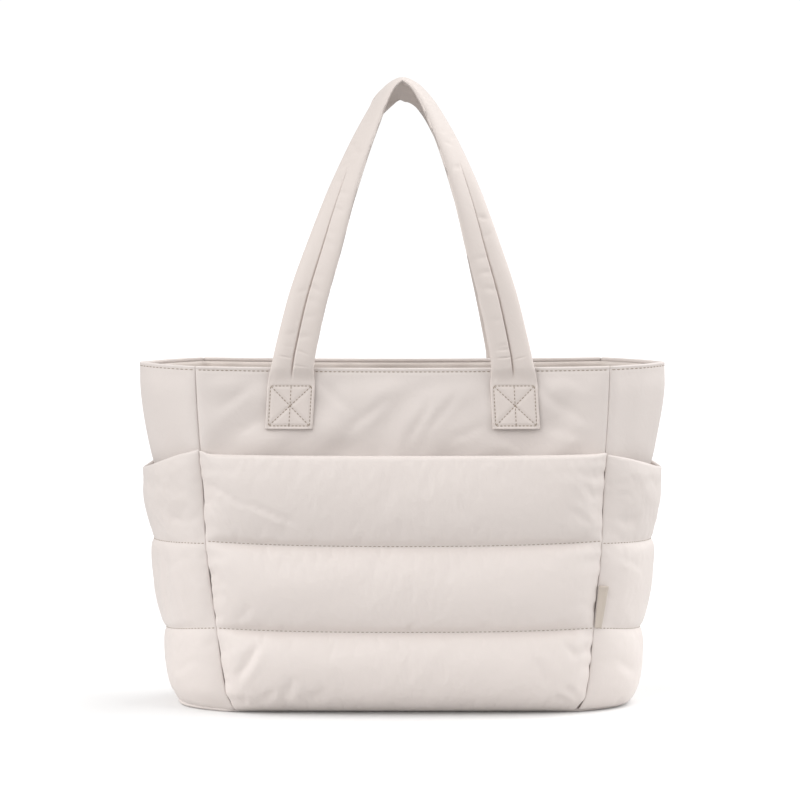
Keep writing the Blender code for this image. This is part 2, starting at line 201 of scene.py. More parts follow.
# A row for each height of the body: shares of the height, of the panel's half width, of the
# gusset fold's half width behind the pocket and where it shows, of the half depth, how far
# the front seams and the folds lean to the right, and how square the gusset's plan is
Section = namedtuple("Section", "height seam fold full depth lean fold_lean power")
SECTIONS = (
    Section(0.000, 0.818, 0.840, 0.808, 0.890, 0.021, 0.014, 3.4),
    Section(0.020, 0.840, 0.842, 0.828, 0.930, 0.020, 0.012, 3.2),
    Section(0.065, 0.868, 0.844, 0.838, 0.975, 0.018, 0.008, 2.7),
    Section(0.240, 0.904, 0.860, 0.860, 1.000, 0.013, 0.003, 1.8),
    Section(0.480, 0.947, 0.898, 0.898, 0.990, 0.006, 0.000, 1.5),
    Section(0.645, 0.960, 0.902, 0.915, 0.960, 0.004, 0.000, 1.5),
    Section(0.695, 0.967, 0.925, 0.940, 0.948, 0.003, 0.000, 1.5),
    Section(0.740, 0.975, 0.950, 0.956, 0.937, 0.002, 0.000, 1.5),
    Section(0.885, 0.992, 0.990, 0.990, 0.896, 0.001, 0.000, 1.5),
    Section(1.000, 1.000, 1.000, 1.000, 0.873, 0.000, 0.000, 1.5),
)

# A row for each sewn channel: its ends as shares of the pocket's height, its crown on the
# front and side pockets, its ends' dips at the gusset fold, and the front's upper seam's sag
# in the middle and lift all along
Channel = namedtuple("Channel", "low high crown side_crown low_dip high_dip sag lift")
CHANNELS = (
    Channel(0.000, 0.322, 1.00, 0.75, 0.00, 0.42, 0.0012, 0.0010),
    Channel(0.322, 0.643, 0.92, 0.92, 0.42, 0.18, 0.0024, 0.0046),
    Channel(0.643, 1.000, 0.95, 0.36, 0.18, 1.00, 0.0000, 0.0000),
)

# A row for each height where a side pocket's room changes
Room = namedtuple("Room", "height room")
SIDE_ROOMS = (
    Room(0.000, 0.00),
    Room(0.090, 0.34),
    Room(0.322, 0.52),
    Room(0.643, 0.58),
    Room(0.830, 1.00),
    Room(0.930, 0.98),
    Room(1.000, 0.72),
)

# A row for each station of a handle, from its foot to the top
Station = namedtuple("Station", "across rise lean front_twist back_twist thick wide")
STATIONS = (
    Station(1.000, 0.000, 0.00, 0.0, 0.0, 0.38, 0.00),
    Station(0.985, 0.060, 0.01, 4.0, 4.0, 0.92, 0.80),
    Station(0.952, 0.127, 0.04, 10.0, 10.0, 1.00, 1.00),
    Station(0.851, 0.285, 0.15, 20.0, 20.0, 1.00, 1.00),
    Station(0.718, 0.444, 0.30, 32.0, 33.0, 1.00, 1.00),
    Station(0.581, 0.605, 0.46, 47.0, 47.0, 1.00, 1.00),
    Station(0.418, 0.764, 0.63, 60.0, 57.0, 0.95, 1.00),
    Station(0.283, 0.875, 0.78, 69.0, 62.0, 0.85, 1.00),
    Station(0.195, 0.938, 0.87, 76.0, 64.0, 0.78, 1.00),
    Station(0.105, 0.981, 0.95, 83.0, 65.0, 0.70, 1.00),
    Station(0.000, 1.000, 1.00, 88.0, 65.0, 0.66, 1.00),
)

# A row for each handle: its side, how far it is wider, its top sinks and shifts, how far
# its legs bow outwards and how much more they turn, in degrees, and its column of twists
Handle = namedtuple("Handle", "node way wider sink shift bow_left bow_right turn_left turn_right twist")
HANDLES = (
    Handle("front_handle", -1.0, 0.0, 0.0, 0.0, -0.0014, 0.0022, 0.0, 0.0, "front_twist"),
    Handle("back_handle", 1.0, 0.003, 0.0085, -0.002, 0.0002, 0.0058, 13.0, 14.0, "back_twist"),
)

# A row for each crease: its two ends (share of the half width across, share of the height
# up), its depth and half width in metres
Crease = namedtuple("Crease", "across_1 up_1 across_2 up_2 depth width")
FRONT_POCKET_CREASES = (
    Crease(-0.81, 0.82, -0.50, 0.725, 0.0019, 0.0026),
    Crease(-0.98, 0.885, -0.76, 0.79, 0.0013, 0.0026),
    Crease(-0.99, 0.82, -0.85, 0.665, 0.0015, 0.0024),
    Crease(-0.95, 0.83, -0.79, 0.66, 0.0011, 0.0026),
    Crease(-0.98, 0.74, -0.89, 0.67, 0.0012, 0.0022),
    Crease(-0.66, 0.71, -0.58, 0.66, 0.0012, 0.0026),
    Crease(0.97, 0.70, 0.80, 0.80, 0.0012, 0.0030),
    Crease(0.98, 0.80, 0.86, 0.90, 0.0010, 0.0028),
    Crease(0.84, 0.66, 0.76, 0.72, 0.0011, 0.0026),
    Crease(-0.95, 0.10, -0.76, 0.29, 0.0028, 0.0042),
    Crease(-0.88, 0.01, -0.70, 0.10, 0.0026, 0.0036),
    Crease(-0.99, 0.02, -0.87, 0.055, 0.0024, 0.0028),
    Crease(-0.70, 0.02, -0.60, 0.16, 0.0018, 0.0044),
    Crease(0.97, 0.01, 0.79, 0.075, 0.0032, 0.0034),
    Crease(0.99, 0.04, 0.84, 0.115, 0.0026, 0.0030),
    Crease(0.94, 0.21, 0.80, 0.30, 0.0020, 0.0032),
    Crease(0.80, 0.10, 0.66, 0.24, 0.0016, 0.0044),
    Crease(-0.60, 0.02, -0.40, 0.12, 0.0016, 0.0060),
    Crease(-0.90, 0.33, -0.78, 0.43, 0.0014, 0.0036),
)
UPPER_PANEL_CREASES = (
    Crease(-0.94, 0.85, -0.70, 0.96, 0.0012, 0.0032),
    Crease(-0.84, 0.79, -0.66, 0.86, 0.0009, 0.0030),
    Crease(-0.44, 0.98, -0.22, 0.86, 0.0012, 0.0034),
    Crease(-0.30, 0.80, -0.04, 0.93, 0.0013, 0.0034),
    Crease(0.00, 0.76, 0.16, 0.93, 0.0013, 0.0036),
    Crease(0.08, 0.79, 0.30, 0.95, 0.0010, 0.0032),
    Crease(0.20, 0.78, 0.42, 0.84, 0.0010, 0.0034),
    Crease(0.62, 0.97, 0.80, 0.85, 0.0013, 0.0030),
    Crease(0.66, 0.93, 0.95, 0.82, 0.0013, 0.0032),
    Crease(0.62, 0.84, 0.92, 0.79, 0.0011, 0.0030),
    Crease(0.74, 0.98, 0.96, 0.92, 0.0010, 0.0028),
    Crease(0.44, 0.80, 0.60, 0.77, 0.0009, 0.0032),
)
SIDE_POCKET_CREASES = (
    Crease(-0.92, 0.60, -0.45, 0.54, 0.0008, 0.0032),
    Crease(-0.92, 0.72, -0.55, 0.76, 0.0007, 0.0035),
    Crease(-0.85, 0.20, -0.45, 0.13, 0.0008, 0.0040),
    Crease(0.92, 0.58, 0.45, 0.66, 0.0008, 0.0035),
)

# How finely each piece is divided
FRONT_POCKET_COLUMNS = 150
SIDE_POCKET_COLUMNS = 56
FRONT_PANEL_COLUMNS = 110
BACK_PANEL_COLUMNS = 100
GUSSET_COLUMNS = 40
QUILT_ROWS = 22
BACK_QUILT_ROWS = 18
FRONT_ROWS = 64
GUSSET_ROWS = 44
BASE_COLUMNS = 48
BASE_ROWS = 40
FACING_COLUMNS = 320
FACING_ROWS = 10
TAB_COLUMNS = 16
TAB_ROWS = 40
STRAP_COLUMNS = 40
STRAP_ROWS = 480
PATCH_ROWS = 34


def linear(hex_colour):
    """An sRGB hex colour as linear values with full alpha."""
    channels = [int(hex_colour[at : at + 2], 16) / 255.0 for at in (1, 3, 5)]
    values = [c / 12.92 if c <= 0.04045 else ((c + 0.055) / 1.055) ** 2.4 for c in channels]
    return (*values, 1.0)


def length_property(name, description, default):
    return FloatProperty(
        name=name, description=description, default=default, min=0.0001, max=2.0, precision=4,
        subtype="DISTANCE", unit="LENGTH",
    )


def colour_property(name, description, default):
    return FloatVectorProperty(
        name=name, description=description, default=linear(default), size=4, min=0.0, max=1.0,
        subtype="COLOR",
    )


class ToteSizes(bpy.types.PropertyGroup):
    """Sizes of the bag that a user would change"""

    height: length_property("Height", "Height of the rim", GUSSET_BOX[1].z)
    panel_half_width: length_property(
        "Panel half width", "Half the width of the front panel at the rim", PANEL_BOX[1].x + 0.5 * SEAM_GAP
    )
    fold_half_width: length_property(
        "Fold half width", "Half the width over both gusset folds at the rim", GUSSET_BOX[1].x
    )
    half_depth: length_property("Half depth", "Half the depth of the body at its fullest", 0.071)
    front_pocket_top: length_property("Front pocket", "Height of its mouth", FRONT_POCKET_BOX[1].z)
    side_pocket_top: length_property("Side pockets", "Height of their mouths", SIDE_POCKET_BOX[1].z)
    front_crown: length_property("Front puff", "How far the front channels puff out", 0.013)
    side_crown: length_property("Side puff", "How far the side channels puff out", 0.0065)
    strap_width: length_property("Strap width", "Width of a handle", 0.0365)
    strap_thickness: length_property("Strap thickness", "Thickness of a padded handle", 0.0085)
    patch_width: length_property("Patch width", "Width of a sewn-down strap end", 0.042)
    handle_top: length_property("Handle top", "Height of the front handle", HANDLE_BOX[1].z)
    handle_spacing: length_property("Handle spacing", "Between a handle's two feet", 0.196)
    stitch_pitch: length_property("Stitch pitch", "Length of one stitch on the seams", 0.0040)
    patch_pitch: length_property("Patch stitch pitch", "Length of one stitch on a patch", 0.0033)
    thread: length_property("Thread", "Thickness of the sewing thread", 0.0008)


class ToteColours(bpy.types.PropertyGroup):
    """Colours of the bag and its stage"""

    cloth: colour_property("Cloth", "Padded panels and pockets", "#d8cfca")
    strap: colour_property("Strap cloth", "Handles", "#d5cbc5")
    # The facing's colour is the body's cloth painted paler, to lift the shade inside the mouth
    facing: colour_property("Facing", "Band inside the mouth", "#ddd3cc")
    # The thread's colour is its own tone painted darker, standing for the shade in the sunken stitch holes
    thread: colour_property("Thread", "Sewing thread", "#958676")
    webbing: colour_property("Webbing", "Side tab", "#c2b7ac")
    floor: colour_property("Floor", "Studio floor", "#efefef")


def sizes():
    return bpy.context.scene.tote_sizes


def colours():
    return bpy.context.scene.tote_colours


def read_curve(knots, values, at):
    """Values at places along a smooth curve through the knots."""
    knots = np.asarray(knots, float)
    values = np.asarray(values, float)
    at = np.clip(at, knots[0], knots[-1])
    after = np.minimum(np.arange(len(knots)) + 1, len(knots) - 1)
    before = np.maximum(np.arange(len(knots)) - 1, 0)
    slopes = (values[after] - values[before]) / (knots[after] - knots[before])
    low = np.clip(np.searchsorted(knots, at, side="right") - 1, 0, len(knots) - 2)
    span = knots[low + 1] - knots[low]
    t = (at - knots[low]) / span
    return (
        (2 * t**3 - 3 * t**2 + 1) * values[low]
        + (t**3 - 2 * t**2 + t) * span * slopes[low]
        + (3 * t**2 - 2 * t**3) * values[low + 1]
        + (t**3 - t**2) * span * slopes[low + 1]
    )


def read_table(rows, column, at):
    return read_curve([row[0] for row in rows], [getattr(row, column) for row in rows], at)


def mix(low, high, share):
    return low + (high - low) * share


def smooth(share):
    share = np.clip(share, 0.0, 1.0)
    return share * share * (3.0 - 2.0 * share)


def fall(across, power):
    """One in the middle of a pad and nought at its two sides."""
    return 1.0 - np.minimum(np.abs(across), 1.0) ** power


def points(x, y, z):
    return np.stack(np.broadcast_arrays(x, y, z), axis=-1).astype(float)


def unit(vectors):
    return vectors / np.maximum(np.linalg.norm(vectors, axis=-1, keepdims=True), 1e-12)


def seam_half(z):
    return sizes().panel_half_width * read_table(SECTIONS, "seam", z / sizes().height)


def lean(z, column):
    return sizes().panel_half_width * read_table(SECTIONS, column, z / sizes().height)


def fold_half(z, column):
    return sizes().fold_half_width * read_table(SECTIONS, column, z / sizes().height)


def half_depth(z):
    return sizes().half_depth * read_table(SECTIONS, "depth", z / sizes().height)


def gusset_power(z):
    return read_table(SECTIONS, "power", z / sizes().height)


def panel_depth(across, z):
    """How far the outside of the front or back panel stands from the middle plane."""
    rise = np.sin(math.pi * mix(0.15, 0.85, np.minimum(z / sizes().height, 1.0)))
    return half_depth(z) + PANEL_BULGE * rise * fall(across, BULGE_POWER)


def rim_height(across):
    return sizes().height - RIM_SAG * fall(across, SAG_POWER)


def rim_form(below_rim, across, valley):
    """The swell of a wall below its rim and the valley of the rim's stitches."""
    dip = np.exp(-(((below_rim - RIM_BAND) / RIM_VALLEY_WIDTH) ** 2))
    swell = smooth((below_rim - RIM_BAND) / RIM_SWELL_RUN) * fall(across, SWELL_POWER)
    return RIM_SWELL * swell - valley * dip


def rim_roll(below_rim):
    """One on the rolled band along a rim and nought below it."""
    return smooth((RIM_BAND - below_rim) / RIM_ROLL_RUN + 0.5)


def channel_at(share):
    """The index of the channel that each share of a pocket's height lies in."""
    ends = np.array([channel.high for channel in CHANNELS[:-1]])
    return np.searchsorted(ends, share, side="left")


def channel_value(column, index):
    return np.array([getattr(channel, column) for channel in CHANNELS])[index]


def inside_channel(share):
    index = channel_at(share)
    low = channel_value("low", index)
    high = channel_value("high", index)
    return index, np.clip((share - low) / (high - low), 0.0, 1.0)


def quilt(share, crown_column, mouth):
    """The puff of the sewn channels at shares of the pocket's height."""
    index, inside = inside_channel(share)
    if mouth:
        inside = np.where(index == len(CHANNELS) - 1, inside * MOUTH_SHARE, inside)
    arch = np.maximum(np.sin(math.pi * inside), 0.0) ** QUILT_POWER
    return channel_value(crown_column, index) * arch


def quilt_rows(count):
    """Shares of the height for a quilted piece's rows, with a row on each seam."""
    shares = []
    for channel in CHANNELS:
        shares += [mix(channel.low, channel.high, index / count) for index in range(count)]
    return np.array(shares + [1.0])


def panel_point(across, share, inset):
    """A point of the front or back panel, with its depth measured out from the middle."""
    top = rim_height(across)
    z = mix(WALL, top, share)
    wall = mix(SEAM_WALL, WALL, fall(across, WALL_POWER))
    reach = seam_half(z) - 0.5 * SEAM_GAP - inset * MITRE_SHARE * SEAM_WALL
    below_rim = top - z
    depth = panel_depth(across, z) - inset * wall
    depth -= (1.0 - inset) * PANEL_EDGE_DROP * np.minimum(np.abs(across), 1.0) ** 70
    depth += (1.0 - inset) * rim_form(below_rim, across, PANEL_RIM_VALLEY)
    depth -= inset * RIM_ROLL * rim_roll(below_rim)
    x = lean(z, "lean") + reach * across
    return points(x, depth, z)


def gusset_point(along, z, side, inset, column):
    """A point of a gusset's plan at one height, inset from the outside by a wall."""
    front = 0.5 * (1.0 - along)
    seam = seam_half(z) + side * lean(z, "lean") * front - inset * MITRE_SHARE * SEAM_WALL
    fold = fold_half(z, column) + side * lean(z, "fold_lean") - inset * WALL
    depth = half_depth(z) - inset * SEAM_WALL
    seam = seam + 0.5 * SEAM_GAP
    x = seam + (fold - seam) * fall(along, gusset_power(z))
    return points(side * x, depth * along, z)


def gusset_normal(along, z, side, column):
    power = gusset_power(z)
    slope = (fold_half(z, column) - seam_half(z)) * power / half_depth(z)
    slope = slope * np.sign(along) * np.minimum(np.abs(along), 1.0) ** (power - 1.0)
    return unit(points(side * np.ones_like(slope), slope, np.zeros_like(slope)))


def seam_shift(column, index, inside):
    """How far the sewn seams move a channel's rows, between its lower and its upper seam."""
    lower = np.array([0.0] + [getattr(channel, column) for channel in CHANNELS[:-1]])[index]
    return mix(lower, channel_value(column, index), inside)


def front_pocket_point(across, share, layer):
    """A point of the front pocket: its inner face at layer 0 and its outer one at layer 1."""
    size = sizes()
    index, inside = inside_channel(share)
    sag = seam_shift("sag", index, inside) * fall(across, SAG_POWER)
    lift = seam_shift("lift", index, inside)
    corner = np.where(across < 0.0, LEFT_CORNER_LIFT, RIGHT_CORNER_LIFT)
    corner = corner * smooth((np.abs(across) - 0.94) / 0.06) * smooth((share - 0.8) / 0.2)
    z = mix(POCKET_FOOT, size.front_pocket_top, share) - sag + lift + corner
    reach = seam_half(z) - SEAM_GAP
    room = FRONT_POCKET_ROOM * fall(across, ROOM_POWER) * fall(1.0 - share, FOOT_POWER)
    depth = panel_depth(across, z) + CLOTH_GAP + room
    puff = quilt(share, "crown", True) * fall(across, FRONT_POCKET_POWER)
    depth = depth + layer * (POCKET_EDGE + size.front_crown * puff)
    reach = reach - CORNER_ROUND * (across > 0.0) * smooth((0.055 - share) / 0.055) ** 2
    wave = np.sin(z / EDGE_WAVE_RUN + 3.0 * np.sin(z * 83.0) + across)
    reach = reach + layer * (EDGE_PRESS + EDGE_WAVE * wave)
    return points(lean(z, "lean") + reach * across, -depth, z)


def side_pocket_height(along, share, side):
    index, inside = inside_channel(share)
    dip = mix(channel_value("low_dip", index), channel_value("high_dip", index), inside)
    sunk = SIDE_MOUTH_DIP * dip * fall(along, DIP_POWER)
    front = RIGHT_MOUTH_DROP * max(side, 0.0) * np.maximum(-along, 0.0) ** 2
    front = front * smooth((share - 0.8) / 0.2)
    return mix(POCKET_FOOT, sizes().side_pocket_top, share) - sunk - front


def side_pocket_point(along, share, side, layer, proud=0.0):
    """A point of a side pocket: its inner face at layer 0 and its outer one at layer 1."""
    z = side_pocket_height(along, share, side)
    base = gusset_point(along, z, side, 0.0, "fold")
    room = SIDE_POCKET_ROOM * fall(along, ROOM_POWER) * read_table(SIDE_ROOMS, "room", share)
    puff = quilt(share, "side_crown", True) * fall(along, SIDE_POCKET_POWER)
    off = CLOTH_GAP + room + layer * (POCKET_EDGE + sizes().side_crown * puff) + proud
    turn = 0.95 * smooth((np.abs(along) - 0.80) / 0.20)[:, None]
    straight = points(0.0, np.sign(along), np.zeros_like(along))
    normal = unit(mix(gusset_normal(along, z, side, "fold"), straight, turn))
    press = points(-side * layer * EDGE_PRESS * np.abs(along) ** 24, 0.0, np.zeros_like(along))
    return base + normal * off[..., None] + press


def creased(across, up, half_width, height, creases):
    """How far creases push a surface in or out, in metres."""
    push = np.zeros_like(across)
    for crease in creases:
        start = np.array((crease.across_1 * half_width, crease.up_1 * height))
        run = np.array((crease.across_2 * half_width, crease.up_2 * height)) - start
        length = np.linalg.norm(run)
        x = across * half_width - start[0]
        y = up * height - start[1]
        along = (x * run[0] + y * run[1]) / length
        away = (x * run[1] - y * run[0]) / length
        away = away + 0.15 * crease.width * np.sin(along / length * 7.0)
        taper = smooth(along / length * 3.0) * smooth((1.0 - along / length) * 3.0)
        valley = np.exp(-((away / crease.width) ** 2))
        ridge = np.exp(-(((away - 1.7 * crease.width) / (1.3 * crease.width)) ** 2))
        push += crease.depth * taper * (0.45 * ridge - valley)
    return push


def rippled(across, up, half_width, height, seed, wave, amount, angle, spread):
    """Soft irregular ripples: a few waves whose directions lie near one angle."""
    draw = random.Random(seed)
    x = across * half_width
    y = up * height
    push = np.zeros_like(x)
    for _ in range(9):
        turn = math.radians(angle + draw.uniform(-spread, spread))
        length = wave * draw.uniform(0.6, 1.9)
        phase = draw.uniform(0.0, 2.0 * math.pi)
        along = x * math.cos(turn) + y * math.sin(turn)
        bend = 0.25 * wave * np.sin(2.0 * math.pi * along / (3.1 * wave) + phase)
        away = -x * math.sin(turn) + y * math.cos(turn) + bend
        push += np.sin(2.0 * math.pi * away / length + phase)
    return amount * push / 3.0


def puckered(away, along, length, seed, spacing, depth, width, reach):
    """Small dents where cloth is gathered into a seam: away and along it, in metres."""
    draw = random.Random(seed)
    push = np.zeros_like(away)
    for _ in range(int(length / spacing)):
        at = draw.uniform(-0.5, 0.5) * length
        slant = draw.uniform(-0.5, 0.5)
        deep = depth * draw.uniform(0.3, 1.0)
        wide = width * draw.uniform(0.6, 1.5)
        far = reach * draw.uniform(0.5, 1.6)
        line = np.exp(-(((along - at - slant * away) / wide) ** 2))
        push -= deep * line * np.exp(-((away / far) ** 2))
    return push


def seam_puckers(x, share, width, height, seed, seed_step, spacing, depth, dent_width):
    """Small dents along both seams of every sewn channel, each kept inside its channel."""
    index = channel_at(share)
    y = share * height
    push = np.zeros_like(x)
    for number, channel in enumerate(CHANNELS):
        for way, level in ((1, channel.low), (-1, channel.high)):
            away = way * (y - level * height)
            near = (index == number) * smooth(away / PUCKER_START)
            first = seed + number * seed_step + way
            push += near * puckered(away, x, width, first, spacing, depth, dent_width, PUCKER_REACH)
    return push


def push_out(data, push, outwards):
    """Moves a sheet's points along their normals, which are turned the outward way first."""
    normals = get_normals(data)
    facing = np.sum(normals * outwards, axis=1, keepdims=True)
    normals *= np.where(facing < 0.0, -1.0, 1.0)
    set_points(data, get_points(data) + normals * push[:, None])


def new_piece(name, mesh, material):
    """Makes a finished bmesh an object at the origin."""
    data = bpy.data.meshes.new(name)
    mesh.to_mesh(data)
    mesh.free()
    data.shade_smooth()
    data.materials.append(material)
    piece = bpy.data.objects.new(name, data)
    bpy.context.scene.collection.objects.link(piece)
    return piece


def cloth_grid(name, columns, rows, flat):
    """A grid that keeps its place across and up, and its flat cloth size as a UV map."""
    mesh = bmesh.new()
    across = mesh.verts.layers.float.new("across")
    up = mesh.verts.layers.float.new("up")
    cloth = mesh.loops.layers.uv.new("cloth")
    bmesh.ops.create_grid(mesh, x_segments=columns, y_segments=rows, size=1.0)
    for vert in mesh.verts:
        vert[across] = vert.co.x
        vert[up] = 0.5 * (vert.co.y + 1.0)
    for face in mesh.faces:
        for loop in face.loops:
            u = 0.5 * (loop.vert.co.x + 1.0) * flat[0]
            loop[cloth].uv = (u, loop.vert[up] * flat[1])
    data = bpy.data.meshes.new(name)
    mesh.to_mesh(data)
    mesh.free()
    return data


def read_places(data):
    """The across and up shares of a cloth grid's points."""
    found = []
    for name in ("across", "up"):
        values = np.zeros(len(data.vertices), np.float32)
        data.attributes[name].data.foreach_get("value", values)
        found.append(values.astype(float))
    return found


def row_at(up, shares):
    """The row of a cloth grid that each point lies in, from its share of the way up."""
    return np.rint(up * (len(shares) - 1)).astype(int)


def get_points(data):
    co = np.zeros(len(data.vertices) * 3, np.float32)
    data.vertices.foreach_get("co", co)
    return co.reshape(-1, 3).astype(float)


def set_points(data, co):
    data.vertices.foreach_set("co", np.asarray(co, np.float32).ravel())
    data.update()


def get_normals(data):
    normals = np.zeros(len(data.vertices) * 3, np.float32)
    data.vertex_normals.foreach_get("vector", normals)
    return normals.reshape(-1, 3).astype(float)


def fill_with_air(data, held, growth):
    """Cloth simulation of one sheet: its seams are held while it swells and wrinkles."""
    scene = bpy.context.scene
    start = get_points(data)
    draw = np.random.default_rng(3)
    set_points(data, start + draw.normal(0.0, START_NOISE, start.shape) * (~held)[:, None])
    sheet = bpy.data.objects.new("filling", data)
    scene.collection.objects.link(sheet)
    group = sheet.vertex_groups.new(name="held")
    group.add([int(index) for index in np.nonzero(held)[0]], 1.0, "REPLACE")
    cloth = sheet.modifiers.new("cloth", "CLOTH")
    settings = cloth.settings
    settings.quality = 6
    settings.mass = 0.15
    settings.tension_stiffness = CLOTH_STIFFNESS
    settings.compression_stiffness = CLOTH_STIFFNESS
    settings.shear_stiffness = 0.4 * CLOTH_STIFFNESS
    settings.bending_stiffness = 0.6
    settings.tension_damping = 5.0
    settings.compression_damping = 5.0
    settings.air_damping = 1.0
    settings.use_pressure = True
    settings.uniform_pressure_force = AIR_PRESSURE
    settings.shrink_min = -growth
    settings.vertex_group_mass = "held"
    settings.effector_weights.gravity = 0.0
    cloth.collision_settings.use_collision = False
    cloth.collision_settings.use_self_collision = False
    cloth.point_cache.frame_start = 1
    cloth.point_cache.frame_end = AIR_FRAMES
    for step in range(1, AIR_FRAMES + 1):
        scene.frame_set(step)
    graph = bpy.context.evaluated_depsgraph_get()
    swollen = get_points(sheet.evaluated_get(graph).data)
    scene.frame_set(1)
    bpy.data.objects.remove(sheet, do_unlink=True)
    moved = swollen - start
    reach = np.linalg.norm(moved, axis=1, keepdims=True)
    moved *= np.minimum(1.0, AIR_REACH / np.maximum(reach, 1e-9))
    set_points(data, start + moved)


def close_pad(name, data, place_inner, material, levels, rows=1, sewn=()):
    """Doubles a finished outer sheet with its inner layer and closes it all round. Its sewn
    rows stay sharp."""
    mesh = bmesh.new()
    mesh.from_mesh(data)
    across = mesh.verts.layers.float["across"]
    up = mesh.verts.layers.float["up"]
    inner = mesh.verts[:]
    crease = mesh.edges.layers.float.new("crease_edge")
    for edge in mesh.edges:
        low, high = (round(vert[up] * rows) for vert in edge.verts)
        if low == high and low in sewn:
            edge[crease] = 0.9
    bmesh.ops.extrude_face_region(mesh, geom=mesh.faces[:])
    places = np.array([(vert[across], vert[up]) for vert in inner])
    for vert, point in zip(inner, place_inner(places[:, 0], places[:, 1])):
        vert.co = Vector(point)
    bmesh.ops.recalc_face_normals(mesh, faces=mesh.faces[:])
    if mesh.calc_volume(signed=True) < 0.0:
        bmesh.ops.reverse_faces(mesh, faces=mesh.faces[:])
    bpy.data.meshes.remove(data)
    piece = new_piece(name, mesh, material)
    if levels:
        round_off = piece.modifiers.new("round off", "SUBSURF")
        round_off.levels = levels
        round_off.render_levels = levels
    return piece


def settle(piece, node):
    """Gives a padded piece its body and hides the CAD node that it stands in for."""
    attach(piece, "root")
    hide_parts(node)


def add_node(tree, kind, settings, links):
    """Adds a shader node, sets its values and inputs, and links sockets into it."""
    node = tree.nodes.new(kind)
    for key, value in settings.items():
        if isinstance(key, int) or key in node.inputs:
            node.inputs[key].default_value = value
        else:
            setattr(node, key, value)
    for key, source in links.items():
        tree.links.new(source, node.inputs[key])
    return node


def woven_cloth(name, colour, weave_mm, roughness):
    """A plain-woven cloth whose dye, weave and slight rumpling are drawn by nodes."""
    found = bpy.data.materials.get(name)
    if found:
        return found
    material = bpy.data.materials.new(name)
    material.use_nodes = True
    tree = material.node_tree
    shader = tree.nodes["Principled BSDF"]
    cloth = add_node(tree, "ShaderNodeUVMap", {"uv_map": "cloth"}, {})
    place = add_node(tree, "ShaderNodeTexCoord", {}, {})
    dye = add_node(
        tree, "ShaderNodeTexNoise", {"Scale": 9.0, "Detail": 3.0, "Roughness": 0.5},
        {"Vector": place.outputs["Object"]},
    )
    darker = tuple(value * 0.955 for value in colour[:3]) + (1.0,)
    tint = add_node(
        tree, "ShaderNodeMix", {"data_type": "RGBA", 6: colour, 7: darker}, {0: dye.outputs["Fac"]}
    )
    tree.links.new(tint.outputs[2], shader.inputs["Base Color"])
    # The real thread spacing is about 0.15 mm, too fine to show, so it is drawn coarser
    turns = 2.0 * math.pi / (weave_mm * 0.001)
    threads = []
    for axis in ("X", "Y"):
        bands = {"wave_type": "BANDS", "bands_direction": axis, "Scale": turns / 20.0}
        wave = add_node(
            tree, "ShaderNodeTexWave", {**bands, "Distortion": 0.4, "Detail": 1.0},
            {"Vector": cloth.outputs["UV"]},
        )
        threads.append(wave.outputs["Fac"])
    weave = add_node(tree, "ShaderNodeMath", {"operation": "MULTIPLY"}, {0: threads[0], 1: threads[1]})
    rumple = add_node(
        tree, "ShaderNodeTexNoise", {"Scale": 55.0, "Detail": 3.0, "Roughness": 0.55, "Distortion": 0.6},
        {"Vector": place.outputs["Object"]},
    )
    fine = add_node(
        tree, "ShaderNodeBump", {"Strength": 0.25, "Distance": 0.00004}, {"Height": weave.outputs[0]}
    )
    soft = add_node(
        tree, "ShaderNodeBump", {"Strength": 0.35, "Distance": 0.0012},
        {"Height": rumple.outputs["Fac"], "Normal": fine.outputs["Normal"]},
    )
    tree.links.new(soft.outputs["Normal"], shader.inputs["Normal"])
    shader.inputs["Roughness"].default_value = roughness
    shader.inputs["Specular IOR Level"].default_value = 0.35
    shader.inputs["Sheen Weight"].default_value = 0.12
    shader.inputs["Sheen Roughness"].default_value = 0.45
    return material


def polyester_thread_with_painted_shade():
    """Twisted polyester sewing thread."""
    name = "polyester_thread_with_painted_shade"
    found = bpy.data.materials.get(name)
    if found:
        return found
    material = bpy.data.materials.new(name)
    material.use_nodes = True
    shader = material.node_tree.nodes["Principled BSDF"]
    # The thread's own tone, painted darker as the shade in its sunken stitch holes, with no weave or sheen
    shader.inputs["Base Color"].default_value = colours().thread
    shader.inputs["Roughness"].default_value = 0.6
    return material


def body_taffeta():
    """Calendered nylon taffeta of the padded panels and pockets."""
    # Gives soft highlights and a faint sheen over a slightly uneven dye
    return woven_cloth("nylon_taffeta", tuple(colours().cloth), 0.6, 0.52)


def strap_taffeta():
    """The same taffeta, cut for the handles."""
    # Differs from the body's cloth in its shade only
    return woven_cloth("nylon_taffeta_strap", tuple(colours().strap), 0.6, 0.52)


def facing_taffeta_painted_paler():
    """The taffeta of the band turned in at the mouth."""
    # A paler copy of the body's cloth, painted light that lifts the shade inside the mouth, and a little
    # rougher, so it shines less
    return woven_cloth("nylon_taffeta_facing_painted_paler", tuple(colours().facing), 0.6, 0.6)


def tab_webbing():
    """Narrow woven webbing of the side tab."""
    # Has a coarser weave and a rougher surface than the taffeta, so it looks matt beside it
    return woven_cloth("woven_webbing", tuple(colours().webbing), 0.9, 0.8)


def lengths_along(path):
    steps = np.linalg.norm(np.diff(path, axis=0), axis=1)
    return np.concatenate(([0.0], np.cumsum(steps)))


def read_along(travelled, values, at):
    """A row of vectors read at one distance along its path."""
    return Vector([np.interp(at, travelled, values[:, axis]) for axis in range(3)])


